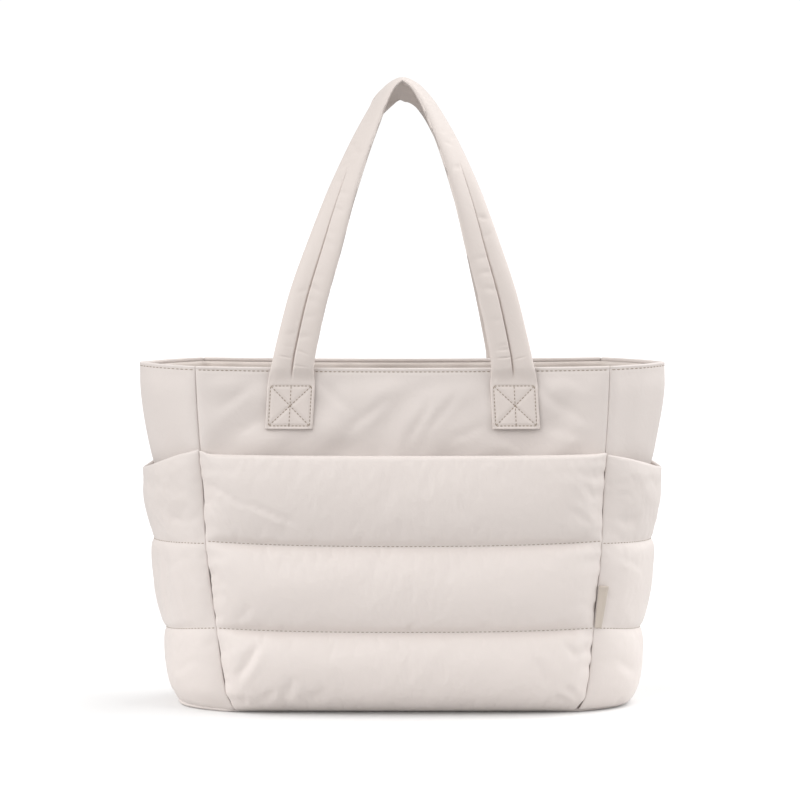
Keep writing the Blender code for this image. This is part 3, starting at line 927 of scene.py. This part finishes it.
def add_stitches(mesh, template, path, normals, pitch):
    """Adds a row of stitches along a path, each a small lens of thread lying on the cloth."""
    thread = sizes().thread
    travelled = lengths_along(path)
    count = max(int(round(travelled[-1] / pitch)), 1)
    centres = (np.arange(count) + 0.5) * travelled[-1] / count
    half = 0.5 * STITCH_SHARE * travelled[-1] / count
    for at in centres:
        start = read_along(travelled, path, at - half)
        end = read_along(travelled, path, at + half)
        tangent = (end - start).normalized()
        side = read_along(travelled, normals, at).normalized().cross(tangent).normalized()
        normal = tangent.cross(side)
        middle = 0.5 * (start + end)
        turn = Matrix((tangent * half, side * 0.5 * thread, normal * 0.5 * thread)).transposed().to_4x4()
        copy = template.copy()
        copy.transform(Matrix.Translation(middle) @ turn)
        mesh.from_mesh(copy)
        bpy.data.meshes.remove(copy)


def stitch_template():
    """A small ball of unit radius whose poles lie along X, as one stitch before it is laid."""
    mesh = bmesh.new()
    bmesh.ops.create_uvsphere(mesh, u_segments=6, v_segments=5, radius=1.0)
    for vert in mesh.verts:
        vert.co = Vector((vert.co.z, vert.co.x, vert.co.y))
    bmesh.ops.recalc_face_normals(mesh, faces=mesh.faces[:])
    data = bpy.data.meshes.new("stitch")
    mesh.to_mesh(data)
    mesh.free()
    return data


def laid_on(tree, path, normals):
    """Lays a path on a finished piece, looking for its surface against the normals."""
    laid = np.array(path, float)
    for index, (point, normal) in enumerate(zip(path, normals)):
        normal = Vector(normal)
        hit = tree.ray_cast(Vector(point) + 0.02 * normal, -normal, 0.04)[0]
        if hit is not None:
            laid[index] = hit + 0.1 * sizes().thread * normal
    return laid


def sew(name, rows):
    """Joins rows of stitches, each (piece name, path, normals, pitch), into one piece."""
    template = stitch_template()
    mesh = bmesh.new()
    graph = bpy.context.evaluated_depsgraph_get()
    trees = {row[0]: BVHTree.FromObject(bpy.data.objects[row[0]], graph) for row in rows}
    for sewn, path, normals, pitch in rows:
        add_stitches(mesh, template, laid_on(trees[sewn], path, normals), normals, pitch)
    bpy.data.meshes.remove(template)
    piece = new_piece(name, mesh, polyester_thread_with_painted_shade())
    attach(piece, "root")


class TOTE_OT_walls(bpy.types.Operator):
    """Makes the front and back panels and the two gussets"""

    bl_idname = "tote.walls"
    bl_label = "Walls"

    def execute(self, context):
        self.make_front()
        self.make_back()
        for name, side in (("left_gusset", -1.0), ("right_gusset", 1.0)):
            self.make_gusset(name, side)
        return {"FINISHED"}

    def wall_shares(self, count):
        """Rows from the base to the rim, closer together near the rim's sewn band."""
        even = np.linspace(0.0, 0.955, count)
        band = np.array([0.966, 0.974, 0.980, 0.985, 0.9885, 0.9915, 0.995, 1.0])
        return np.concatenate((even, band))

    def make_front(self):
        size = sizes()
        half = size.panel_half_width
        name = "front_panel_cloth"
        shares = self.wall_shares(FRONT_ROWS)
        data = cloth_grid(name, FRONT_PANEL_COLUMNS, len(shares) - 1, PANEL_CLOTH)
        across, up = read_places(data)
        share = shares[row_at(up, shares)]
        point = panel_point(across, share, 0.0)
        below_band = size.height - RIM_BAND - point[:, 2]
        push = creased(across, share, half, size.height, UPPER_PANEL_CREASES)
        push += rippled(across, share, half, size.height, 11, 0.045, 0.0011, 30, 30)
        push += puckered(below_band, across * half, PANEL_CLOTH[0], 12, 0.016, 0.0008, 0.0022, 0.012)
        point[:, 1] += push * fall(across, CALM_POWER) * smooth((0.985 - share) / 0.05)
        set_points(data, point * (1.0, -1.0, 1.0))

        def inner(across, up):
            return panel_point(across, shares[row_at(up, shares)], 1.0) * (1.0, -1.0, 1.0)

        piece = close_pad(name, data, inner, body_taffeta(), 1)
        settle(piece, "front_panel")

    def make_back(self):
        size = sizes()
        name = "back_panel_cloth"
        quilted = quilt_rows(BACK_QUILT_ROWS)[:-1]
        lower = mix(WALL, size.front_pocket_top, quilted)
        plain = np.concatenate((np.linspace(0.0, 0.86, 14), (0.89, 0.92, 0.94, 0.955, 0.966, 0.978, 1.0)))
        upper = mix(size.front_pocket_top, size.height, plain)
        shares = (np.concatenate((lower, upper)) - WALL) / (size.height - WALL)
        pocket_shares = np.concatenate((quilted, np.ones(len(upper))))
        data = cloth_grid(name, BACK_PANEL_COLUMNS, len(shares) - 1, PANEL_CLOTH)
        across, up = read_places(data)
        row = row_at(up, shares)
        puff = np.where(pocket_shares[row] < 1.0, quilt(pocket_shares[row], "crown", False), 0.0)
        point = panel_point(across, shares[row], 0.0)
        point[:, 1] += BACK_CROWN * puff * fall(across, BACK_POWER)
        set_points(data, point)
        sewn = tuple(BACK_QUILT_ROWS * (number + 1) for number in range(len(CHANNELS)))
        held = np.isin(row, (0, *sewn)) | (np.abs(across) > HELD_EDGE) | (shares[row] > 0.965)
        fill_with_air(data, held, BACK_GROWTH)

        def inner(across, up):
            return panel_point(across, shares[row_at(up, shares)], 1.0)

        piece = close_pad(name, data, inner, body_taffeta(), 1, len(shares) - 1, sewn)
        settle(piece, "back_panel")

    def make_gusset(self, node, side):
        size = sizes()
        name = node + "_cloth"
        shares = self.wall_shares(GUSSET_ROWS)
        data = cloth_grid(name, GUSSET_COLUMNS, len(shares) - 1, GUSSET_CLOTH)
        along, up = read_places(data)

        def place(along, up, inset):
            z = mix(WALL, size.height, shares[row_at(up, shares)])
            roll = rim_roll(size.height - z)
            return gusset_point(along, z, side, inset * (1.0 + RIM_ROLL / WALL * roll), "full")

        point = place(along, up, 0.0)
        push = rim_form(size.height - point[:, 2], along, GUSSET_RIM_VALLEY)
        push -= PANEL_EDGE_DROP * np.abs(along) ** 40
        share = shares[row_at(up, shares)]
        ripples = rippled(along, share, 0.08, size.height, 21 + int(side), 0.05, 0.0005, 60, 40)
        push += ripples * fall(along, CALM_POWER)
        point += gusset_normal(along, point[:, 2], side, "full") * push[:, None]
        set_points(data, point)
        piece = close_pad(name, data, lambda a, u: place(a, u, 1.0), body_taffeta(), 1)
        settle(piece, node)


class TOTE_OT_base(bpy.types.Operator):
    """Makes the padded base that the bag rests on"""

    bl_idname = "tote.base"
    bl_label = "Base"

    def execute(self, context):
        data = cloth_grid("base_cloth", BASE_COLUMNS, BASE_ROWS, BASE_CLOTH)
        across, up = read_places(data)

        def place(across, up, z):
            along = 2.0 * up - 1.0
            edge = gusset_point(along, np.zeros_like(along), 1.0, 0.0, "fold")
            return points((edge[:, 0] + BASE_LIP) * across, edge[:, 1] * BASE_DEPTH_SHARE, z)

        set_points(data, place(across, up, BASE_THICKNESS))
        piece = close_pad("base_cloth", data, lambda a, u: place(a, u, 0.0), body_taffeta(), 1)
        settle(piece, "base_panel")
        return {"FINISHED"}


class TOTE_OT_facing(bpy.types.Operator):
    """Makes the band turned in at the mouth"""

    bl_idname = "tote.facing"
    bl_label = "Rim facing"

    def execute(self, context):
        mesh = bmesh.new()
        bmesh.ops.create_cone(
            mesh, cap_ends=False, segments=FACING_COLUMNS, radius1=1.0, radius2=1.0, depth=2.0
        )
        upright = [edge for edge in mesh.edges if abs(edge.verts[0].co.z - edge.verts[1].co.z) > 1.0]
        bmesh.ops.subdivide_edges(mesh, edges=upright, cuts=FACING_ROWS - 1, use_grid_fill=True)
        cloth = mesh.loops.layers.uv.new("cloth")
        for face in mesh.faces:
            for loop in face.loops:
                turn = math.atan2(loop.vert.co.y, loop.vert.co.x) % (2.0 * math.pi)
                loop[cloth].uv = (turn / (2.0 * math.pi), loop.vert.co.z * 0.5 * FACING_DEPTH)
        doubled = bmesh.ops.extrude_face_region(mesh, geom=mesh.faces[:])
        inner = {item for item in doubled["geom"] if isinstance(item, bmesh.types.BMVert)}
        for vert in mesh.verts:
            turn = math.atan2(vert.co.y, vert.co.x) % (2.0 * math.pi)
            share = round(turn / (2.0 * math.pi) * FACING_COLUMNS) / (0.25 * FACING_COLUMNS) % 4.0
            down = 0.5 * (1.0 - vert.co.z)
            vert.co = Vector(self.place(share, down, vert in inner))
        bmesh.ops.recalc_face_normals(mesh, faces=mesh.faces[:])
        if mesh.calc_volume(signed=True) < 0.0:
            bmesh.ops.reverse_faces(mesh, faces=mesh.faces[:])
        piece = new_piece("rim_facing_cloth", mesh, facing_taffeta_painted_paler())
        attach(piece, "root")
        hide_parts("rim_facing")
        return {"FINISHED"}

    def place(self, share, down, inward):
        """A point on the band inside the mouth: front, right, back and left quarters."""
        size = sizes()
        quarter = int(share) % 4
        along = 2.0 * (share - int(share)) - 1.0
        sag = RIM_SAG * float(fall(along, SAG_POWER)) if quarter in (0, 2) else 0.0
        z = size.height - sag - RIM_BAND - FACING_DROP - down * FACING_DEPTH
        wave = FACING_WAVE * math.sin(share * 47.0 + 2.0 * math.sin(share * 19.0)) * min(down * 3.0, 1.0)
        inset = FACING_SEAT + (FACING_THICKNESS if inward else 0.0) + wave
        if quarter in (0, 2):
            way = 1.0 if quarter == 0 else -1.0
            reach = float(seam_half(z)) - MITRE_SHARE * (SEAM_WALL + inset)
            wall = mix(SEAM_WALL, WALL, float(fall(along, WALL_POWER))) + inset
            return (way * reach * along, -way * (float(panel_depth(along, z)) - wall), z)
        way = 1.0 if quarter == 1 else -1.0
        depth = float(half_depth(z)) - SEAM_WALL - inset
        seam = float(seam_half(z)) - MITRE_SHARE * (SEAM_WALL + inset)
        fold = float(fold_half(z, "full")) - WALL - inset
        reach = seam + (fold - seam) * float(fall(along, float(gusset_power(z))))
        return (way * reach, way * depth * along, z)


class TOTE_OT_front_pocket(bpy.types.Operator):
    """Makes the wide quilted pocket on the front"""

    bl_idname = "tote.front_pocket"
    bl_label = "Front pocket"

    def execute(self, context):
        size = sizes()
        half, top = size.panel_half_width, size.front_pocket_top
        name = "front_pocket_quilt"
        shares = quilt_rows(QUILT_ROWS)
        data = cloth_grid(name, FRONT_POCKET_COLUMNS, len(shares) - 1, FRONT_POCKET_CLOTH)
        across, up = read_places(data)
        row = row_at(up, shares)
        share = shares[row]
        set_points(data, front_pocket_point(across, share, 1.0))
        held = (row % QUILT_ROWS == 0) | (np.abs(across) > HELD_EDGE)
        fill_with_air(data, held, POCKET_GROWTH)
        arch = np.sin(math.pi * inside_channel(share)[1])
        push = creased(across, share, half, top, FRONT_POCKET_CREASES)
        push += rippled(across, share, half, top, 5, 0.06, 0.00035, 20, 50)
        push *= np.clip(1.6 * arch, 0.0, 1.0) * fall(across, 20)
        push += seam_puckers(across * half, share, 2.0 * half, top, 40, 2, 0.011, 0.0013, 0.0020)
        for way in (-1, 1):
            away = half * (1.0 - way * across)
            dents = puckered(away, (share - 0.5) * top, top, 60 + way, 0.010, 0.0014, 0.0026, 0.010)
            push += dents * np.clip(2.0 * arch, 0.0, 1.0)
        push_out(data, push, (0.0, -1.0, 0.0))

        def inner(across, up):
            return front_pocket_point(across, shares[row_at(up, shares)], 0.0)

        sewn = (QUILT_ROWS, 2 * QUILT_ROWS)
        piece = close_pad(name, data, inner, body_taffeta(), 1, len(shares) - 1, sewn)
        settle(piece, "front_pocket")
        return {"FINISHED"}


class TOTE_OT_side_pockets(bpy.types.Operator):
    """Makes the two quilted side pockets with sloping mouths"""

    bl_idname = "tote.side_pockets"
    bl_label = "Side pockets"

    def execute(self, context):
        for node, side in (("left_side_pocket", -1.0), ("right_side_pocket", 1.0)):
            self.make(node, side)
        return {"FINISHED"}

    def make(self, node, side):
        name = node + "_quilt"
        top = sizes().side_pocket_top
        width = SIDE_POCKET_CLOTH[0]
        half = 0.5 * width
        shares = quilt_rows(QUILT_ROWS)
        data = cloth_grid(name, SIDE_POCKET_COLUMNS, len(shares) - 1, SIDE_POCKET_CLOTH)
        along, up = read_places(data)
        row = row_at(up, shares)
        share = shares[row]
        set_points(data, side_pocket_point(along, share, side, 1.0))
        held = (row % QUILT_ROWS == 0) | (np.abs(along) > HELD_EDGE)
        fill_with_air(data, held, POCKET_GROWTH)
        arch = np.sin(math.pi * inside_channel(share)[1])
        push = creased(along, share, half, top, SIDE_POCKET_CREASES)
        push += rippled(along, share, half, top, 31 + int(side), 0.05, 0.0003, 0, 60)
        push *= np.clip(1.6 * arch, 0.0, 1.0) * fall(along, CALM_POWER)
        push += seam_puckers(along * half, share, width, top, 80 + int(side), 4, 0.009, 0.0012, 0.0019)
        push_out(data, push, gusset_normal(along, get_points(data)[:, 2], side, "fold"))

        def inner(along, up):
            return side_pocket_point(along, shares[row_at(up, shares)], side, 0.0)

        sewn = (QUILT_ROWS, 2 * QUILT_ROWS)
        piece = close_pad(name, data, inner, body_taffeta(), 1, len(shares) - 1, sewn)
        settle(piece, node)


class TOTE_OT_tab(bpy.types.Operator):
    """Makes the plain woven tab in the seam beside the front pocket"""

    bl_idname = "tote.tab"
    bl_label = "Side tab"

    def execute(self, context):
        data = cloth_grid("side_tab_webbing", TAB_COLUMNS, TAB_ROWS, TAB_CLOTH)
        across, up = read_places(data)
        gusset_run = math.hypot(GUSSET_REACH, sizes().half_depth)
        rise = sizes().side_pocket_top - POCKET_FOOT

        def place(across, up, layer):
            width = mix(TAB_WIDTH_LOW, TAB_WIDTH_HIGH, up) / gusset_run
            along = TAB_START + 0.5 * (across + 1.0) * width
            share = (mix(TAB_LOW, TAB_HIGH, up) - POCKET_FOOT) / rise
            rib = TAB_RIB * np.sin(up * math.pi * 34.0) * smooth((up - 0.45) / 0.2)
            edge = TAB_EDGE * smooth((across - 0.35) / 0.3)
            fold = TAB_FOLD * smooth((up - 0.85) / 0.15)
            proud = TAB_SEAT + layer * (TAB_THICKNESS + rib + edge + fold)
            return side_pocket_point(along, share, 1.0, 1.0, proud)

        set_points(data, place(across, up, 1.0))
        piece = close_pad("side_tab_webbing", data, lambda a, u: place(a, u, 0.0), tab_webbing(), 1)
        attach(piece, "root")
        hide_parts("side_tab")
        return {"FINISHED"}


def handle_value(place, column, mirror=1.0):
    """One column of the stations at places from one foot, over the top, to the other."""
    steps = len(STATIONS) - 1
    values = [getattr(row, column) for row in STATIONS]
    both = values + [mirror * value for value in values[-2::-1]]
    return read_curve(np.arange(2 * steps + 1), both, (place + 1.0) * steps)


def strap_edge(across):
    """Spreads a strap's columns so that they lie closest at its seam and its edges."""
    return across - 0.12 * np.sin(2.0 * math.pi * across)


def strap_middle(handle, place):
    """The middle of a strap, with its depth measured out from the bag's middle."""
    size = sizes()
    foot = size.height - PATCH_BELOW_RIM
    rise_height = size.handle_top - foot - 0.5 * size.strap_thickness * STATIONS[-1].thick
    foot_depth = float(panel_depth(0.5, size.height)) + HANDLE_STAND_OFF
    foot_depth += STAND_OFF_SHARE * size.strap_thickness
    top_depth = 0.5 * (size.strap_width + HANDLE_GAP)
    rise = handle_value(place, "rise")
    x = 0.5 * (size.handle_spacing + handle.wider) * handle_value(place, "across", -1.0)
    y = mix(foot_depth, top_depth, handle_value(place, "lean"))
    z = foot + (rise_height - handle.sink) * rise
    bump = np.exp(-(((np.abs(place) - 0.40) / 0.24) ** 2)) * smooth(np.abs(place) / 0.12)
    bow = np.where(place > 0.0, handle.bow_right, -handle.bow_left) * bump
    return points(handle.shift + bow - x, y, z)


def strap_frame(handle, place):
    """Middle, direction across and outward normal of a strap at each place."""
    step = 0.002
    middle = strap_middle(handle, place)
    ahead = strap_middle(handle, np.minimum(place + step, 1.0))
    behind = strap_middle(handle, np.maximum(place - step, -1.0))
    tangent = unit(ahead - behind)
    out = unit(points(-tangent[:, 2], 0.0, tangent[:, 0]))
    inwards = points(0.0, -1.0, np.zeros(len(place)))
    turned = np.where(place > 0.0, handle.turn_right, handle.turn_left)
    start = np.where(place > 0.0, 0.08, 0.14)
    turned = turned * smooth((np.abs(place) - start) / 0.12) * smooth((0.85 - np.abs(place)) / 0.4)
    twist = np.radians(handle_value(place, handle.twist) + turned)[:, None]
    across = out * np.cos(twist) + inwards * np.sin(twist)
    across = unit(across - tangent * np.sum(across * tangent, axis=1, keepdims=True))
    level = smooth((np.abs(place) - 0.95) / 0.05)[:, None]
    across = unit(mix(across, points(np.sign(across[:, 0]), 0.0, np.zeros(len(place))), level))
    normal = unit(np.cross(tangent, across))
    facing = np.sum(normal * (out * np.sin(twist) - inwards * np.cos(twist)), axis=1)
    return middle, across, normal * np.where(facing < 0.0, -1.0, 1.0)[:, None]


def strap_surface(handle, row, edge, layer, proud=0.0):
    """Points of a handle; rows run from one patch over the strap to the other patch."""
    size = sizes()
    total = STRAP_ROWS + 2 * PATCH_ROWS
    place = np.clip(2.0 * (row - PATCH_ROWS) / STRAP_ROWS - 1.0, -1.0, 1.0)
    below = np.maximum(np.maximum(PATCH_ROWS - row, row - total + PATCH_ROWS), 0.0) / PATCH_ROWS
    middle, across, normal = strap_frame(handle, place)
    width = mix(size.patch_width, size.strap_width, handle_value(place, "wide"))
    thick = size.strap_thickness * handle_value(place, "thick")
    round_off = np.sqrt(np.maximum(1.0 - np.abs(edge) ** 3.2, 0.0))
    spread = np.where(edge > 0.0, 0.42, 0.05)
    seam = 0.40 * np.exp(-((edge / spread) ** 2)) + 0.52 * np.exp(-((edge / 0.035) ** 2))
    seam = seam * smooth((np.abs(place) - 0.42) / 0.08) * smooth((1.0 - np.abs(place)) / 0.03)
    full = round_off * (1.0 - (seam if layer == 1 else 0.0))
    off = (layer - 0.5) * thick * full + (layer - 0.5) * 2.0 * strap_puckers(handle, place, edge)
    point = middle + across * (0.5 * width * edge)[:, None] + normal * (off + proud)[:, None]
    down = PATCH_HEIGHT * below
    point += points(np.sign(place) * PATCH_SLANT * down, 0.0, -down)
    foot = size.height - PATCH_BELOW_RIM
    across_panel = point[:, 0] / seam_half(point[:, 2])
    seat = panel_depth(across_panel, np.minimum(point[:, 2], size.height))
    patch = PATCH_THICKNESS - PATCH_DENT * patch_lines(edge, below, width)
    patch = patch * np.maximum(1.0 - np.abs(edge) ** 40, 0.0) ** 0.5
    seated = seat + PATCH_SEAT + layer * patch + proud
    loose = smooth((point[:, 2] - foot) / PATCH_BELOW_RIM)
    point[:, 1] = handle.way * mix(seated, point[:, 1], loose)
    return point


def patch_lines(edge, below, width):
    """How near each point of a patch is to its stitched box, its cross and its seam."""
    x = 0.5 * width * edge
    y = below * PATCH_HEIGHT
    half = 0.5 * width - PATCH_INSET
    low = PATCH_HEIGHT - PATCH_INSET
    top = PATCH_TOP_INSET
    slope = (low - top) / (2.0 * half)
    lengthened = math.hypot(1.0, float(np.mean(slope)))
    lines = [np.abs(np.abs(x) - half), np.abs(y - low), np.abs(y - top)]
    for way in (-1.0, 1.0):
        lines.append(np.abs((y - 0.5 * (top + low)) - way * slope * x) / lengthened)
    nearest = np.min(np.broadcast_arrays(*lines), axis=0)
    return np.exp(-((nearest / PATCH_DENT_WIDTH) ** 2))


def strap_puckers(handle, place, edge):
    """Small dents across the strap beside its seam."""
    draw = random.Random(7 if handle.way < 0.0 else 8)
    push = np.zeros_like(place)
    for _ in range(80):
        at = draw.uniform(-0.97, 0.97)
        side = draw.choice((-1.0, -1.0, 1.0))
        depth = draw.uniform(0.0003, 0.0010)
        wide = draw.uniform(0.0011, 0.0017)
        slant = draw.uniform(-0.005, 0.005)
        away = (place - at) * 0.5 * STRAP_RUN + slant * edge
        across = np.exp(-(((edge * side - 0.34) / 0.30) ** 2))
        push -= depth * np.exp(-((away / wide) ** 2)) * across
    return push * smooth((1.0 - np.abs(place)) * 12.0) * smooth((np.abs(place) - 0.25) / 0.20)


class TOTE_OT_handles(bpy.types.Operator):
    """Makes the two padded handles with their flattened, sewn-down ends"""

    bl_idname = "tote.handles"
    bl_label = "Handles"

    def execute(self, context):
        for handle in HANDLES:
            self.make(handle)
        return {"FINISHED"}

    def make(self, handle):
        name = handle.node + "_strap"
        total = STRAP_ROWS + 2 * PATCH_ROWS
        data = cloth_grid(name, STRAP_COLUMNS, total, STRAP_CLOTH)
        across, up = read_places(data)
        set_points(data, strap_surface(handle, up * total, strap_edge(across), 1))

        def inner(across, up):
            return strap_surface(handle, up * total, strap_edge(across), 0)

        piece = close_pad(name, data, inner, strap_taffeta(), 0)
        settle(piece, handle.node)


class TOTE_OT_stitching(bpy.types.Operator):
    """Sews the rim, the channels and the patches of the handles"""

    bl_idname = "tote.stitching"
    bl_label = "Stitching"

    def execute(self, context):
        size = sizes()
        self.sew_rim(size)
        self.sew_front(size)
        self.sew_sides(size)
        self.sew_back(size)
        for handle in HANDLES:
            self.sew_patches(handle, size)
        return {"FINISHED"}

    def sew_rim(self, size):
        rows = []
        across = np.linspace(-0.985, 0.985, 200)
        for way in (-1.0, 1.0):
            top = rim_height(across)
            share = (top - RIM_BAND - WALL) / (top - WALL)
            path = panel_point(across, share, 0.0)
            path[:, 1] += 0.0002
            path *= (1.0, way, 1.0)
            normals = points(0.0, way, np.zeros(len(across)))
            panel = "front_panel_cloth" if way < 0.0 else "back_panel_cloth"
            rows.append((panel, path, normals, size.stitch_pitch))
        for node, side in (("left_gusset", -1.0), ("right_gusset", 1.0)):
            z = np.full(len(across), size.height - RIM_BAND)
            normals = gusset_normal(across, z, side, "full")
            path = gusset_point(across, z, side, 0.0, "full")
            rows.append((node + "_cloth", path, normals, GUSSET_PITCH_SHARE * size.stitch_pitch))
        sew("rim_stitches", rows)

    def sew_front(self, size):
        rows = []
        across = np.linspace(-0.99, 0.99, 240)
        for channel in CHANNELS[:-1]:
            share = np.full(len(across), channel.high)
            path = front_pocket_point(across, share, 1.0)
            path[:, 1] -= 0.0005
            normals = points(0.0, -1.0, np.zeros(len(across)))
            rows.append(("front_pocket_quilt", path, normals, size.stitch_pitch))
        sew("front_pocket_stitches", rows)

    def sew_sides(self, size):
        along = np.linspace(-0.975, 0.975, 120)
        for node, side in (("left_side_pocket", -1.0), ("right_side_pocket", 1.0)):
            rows = []
            for channel in CHANNELS[:-1]:
                share = np.full(len(along), channel.high)
                path = side_pocket_point(along, share, side, 1.0, 0.0005)
                normals = gusset_normal(along, path[:, 2], side, "fold")
                rows.append((node + "_quilt", path, normals, size.stitch_pitch))
            sew(node + "_stitches", rows)

    def sew_back(self, size):
        rows = []
        across = np.linspace(-0.99, 0.99, 240)
        for channel in CHANNELS:
            z = mix(WALL, size.front_pocket_top, channel.high)
            share = np.full(len(across), (z - WALL) / (size.height - WALL))
            path = panel_point(across, share, 0.0)
            path[:, 1] += 0.0004
            normals = points(0.0, 1.0, np.zeros(len(across)))
            rows.append(("back_panel_cloth", path, normals, size.stitch_pitch))
        sew("back_panel_stitches", rows)

    def sew_patches(self, handle, size):
        rows = []
        half = 1.0 - PATCH_INSET / (0.5 * size.patch_width)
        low = 1.0 - PATCH_INSET / PATCH_HEIGHT
        top = PATCH_TOP_INSET / PATCH_HEIGHT
        total = STRAP_ROWS + 2 * PATCH_ROWS
        lines = (
            ((-half, top), (half, top)),
            ((-half, low), (half, low)),
            ((-half, top), (-half, low)),
            ((half, top), (half, low)),
            ((-half, top), (half, low)),
            ((half, top), (-half, low)),
            ((0.0, top), (0.0, low)),
        )
        for foot in (0, 1):
            for start, end in lines:
                share = np.linspace(0.0, 1.0, 40)
                edge = mix(start[0], end[0], share)
                below = mix(start[1], end[1], share)
                row = PATCH_ROWS * (1.0 - below)
                if foot:
                    row = total - row
                path = strap_surface(handle, row, edge, 1, 0.0001)
                normals = points(0.0, handle.way, np.zeros(len(share)))
                rows.append((handle.node + "_strap", path, normals, size.patch_pitch))
        sew(handle.node + "_stitches", rows)


class TOTE_OT_stage(bpy.types.Operator):
    """Makes the floor, the lights and the camera"""

    bl_idname = "tote.stage"
    bl_label = "Stage"

    def execute(self, context):
        scene = context.scene
        scene.view_settings.view_transform = "Standard"
        self.make_floor()
        self.make_world(scene)
        for light in LIGHTS:
            self.make_light(light)
        self.make_camera(scene)
        return {"FINISHED"}

    def make_floor(self):
        mesh = bmesh.new()
        bmesh.ops.create_grid(mesh, x_segments=2, y_segments=2, size=FLOOR_HALF)
        bmesh.ops.translate(mesh, vec=(0.0, 0.0, -FLOOR_CLEARANCE), verts=mesh.verts[:])
        material = bpy.data.materials.new("painted_studio_floor")
        material.use_nodes = True
        tree = material.node_tree
        tree.nodes.clear()
        seen = add_node(tree, "ShaderNodeBsdfDiffuse", {"Color": colours().floor}, {})
        # Light that the floor throws back falls off away from the bag, as on a small sweep
        place = add_node(tree, "ShaderNodeTexCoord", {}, {})
        reach = add_node(tree, "ShaderNodeVectorMath", {"operation": "LENGTH"}, {0: place.outputs["Object"]})
        fade = add_node(
            tree, "ShaderNodeMapRange",
            {"From Min": 0.30, "From Max": 0.85, "To Min": 0.74, "To Max": 0.24},
            {"Value": reach.outputs["Value"]},
        )
        dull = add_node(tree, "ShaderNodeBsdfDiffuse", {}, {"Color": fade.outputs["Result"]})
        path = add_node(tree, "ShaderNodeLightPath", {}, {})
        both = add_node(
            tree, "ShaderNodeMixShader", {},
            {0: path.outputs["Is Camera Ray"], 1: dull.outputs[0], 2: seen.outputs[0]},
        )
        add_node(tree, "ShaderNodeOutputMaterial", {}, {"Surface": both.outputs[0]})
        floor = new_piece("floor", mesh, material)

    def make_world(self, scene):
        world = bpy.data.worlds.new("studio")
        world.use_nodes = True
        scene.world = world
        tree = world.node_tree
        tree.nodes.clear()
        white = (1.0, 1.0, 1.0, 1.0)
        lit = {"Color": white, "Strength": SURROUNDING_STRENGTH}
        shown = {"Color": white, "Strength": BACKDROP_STRENGTH}
        lighting = add_node(tree, "ShaderNodeBackground", lit, {})
        seen = add_node(tree, "ShaderNodeBackground", shown, {})
        path = add_node(tree, "ShaderNodeLightPath", {}, {})
        both = add_node(
            tree, "ShaderNodeMixShader", {},
            {0: path.outputs["Is Camera Ray"], 1: lighting.outputs[0], 2: seen.outputs[0]},
        )
        add_node(tree, "ShaderNodeOutputWorld", {}, {"Surface": both.outputs[0]})

    def make_light(self, light):
        """A broad soft light from its azimuth off the front and its height above the floor."""
        data = bpy.data.lights.new(light.name, "SUN")
        data.angle = math.radians(light.softness)
        data.energy = light.strength
        lamp = bpy.data.objects.new(light.name, data)
        turn = math.radians(light.azimuth)
        rise = math.radians(light.height)
        level = Vector((math.sin(turn), -math.cos(turn), 0.0)) * math.cos(rise)
        towards = level + Vector((0.0, 0.0, math.sin(rise)))
        lamp.rotation_euler = (-towards).to_track_quat("-Z", "Y").to_euler()
        bpy.context.scene.collection.objects.link(lamp)

    def make_camera(self, scene):
        place = Vector(CAMERA_PLACE)
        data = bpy.data.cameras.new("camera")
        data.lens = CAMERA_LENS
        data.sensor_width = CAMERA_SENSOR
        camera = bpy.data.objects.new("camera", data)
        camera.location = place
        camera.rotation_euler = (Vector(CAMERA_TARGET) - place).to_track_quat("-Z", "Y").to_euler()
        scene.collection.objects.link(camera)
        scene.camera = camera


class TOTE_PT_panel(bpy.types.Panel):
    """Lists the bag's pieces and their sizes and colours"""

    bl_idname = "TOTE_PT_panel"
    bl_label = "Puffer tote bag"
    bl_space_type = "VIEW_3D"
    bl_region_type = "UI"
    bl_category = "Tote"

    def draw(self, context):
        for group in (context.scene.tote_sizes, context.scene.tote_colours):
            for name in group.__annotations__:
                self.layout.prop(group, name)
        for operator in OPERATORS:
            self.layout.operator(operator.bl_idname)


OPERATORS = (
    TOTE_OT_walls,
    TOTE_OT_base,
    TOTE_OT_facing,
    TOTE_OT_front_pocket,
    TOTE_OT_side_pockets,
    TOTE_OT_tab,
    TOTE_OT_handles,
    TOTE_OT_stitching,
    TOTE_OT_stage,
)
CLASSES = (ToteSizes, ToteColours, *OPERATORS, TOTE_PT_panel)


def register():
    for each in CLASSES:
        bpy.utils.register_class(each)
    bpy.types.Scene.tote_sizes = PointerProperty(type=ToteSizes)
    bpy.types.Scene.tote_colours = PointerProperty(type=ToteColours)


def unregister():
    del bpy.types.Scene.tote_colours
    del bpy.types.Scene.tote_sizes
    for each in reversed(CLASSES):
        bpy.utils.unregister_class(each)


def main():
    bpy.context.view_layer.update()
    register()
    bpy.ops.tote.walls()
    bpy.ops.tote.base()
    bpy.ops.tote.facing()
    bpy.ops.tote.front_pocket()
    bpy.ops.tote.side_pockets()
    bpy.ops.tote.tab()
    bpy.ops.tote.handles()
    bpy.ops.tote.stitching()
    bpy.ops.tote.stage()


if __name__ == "__main__":
    main()
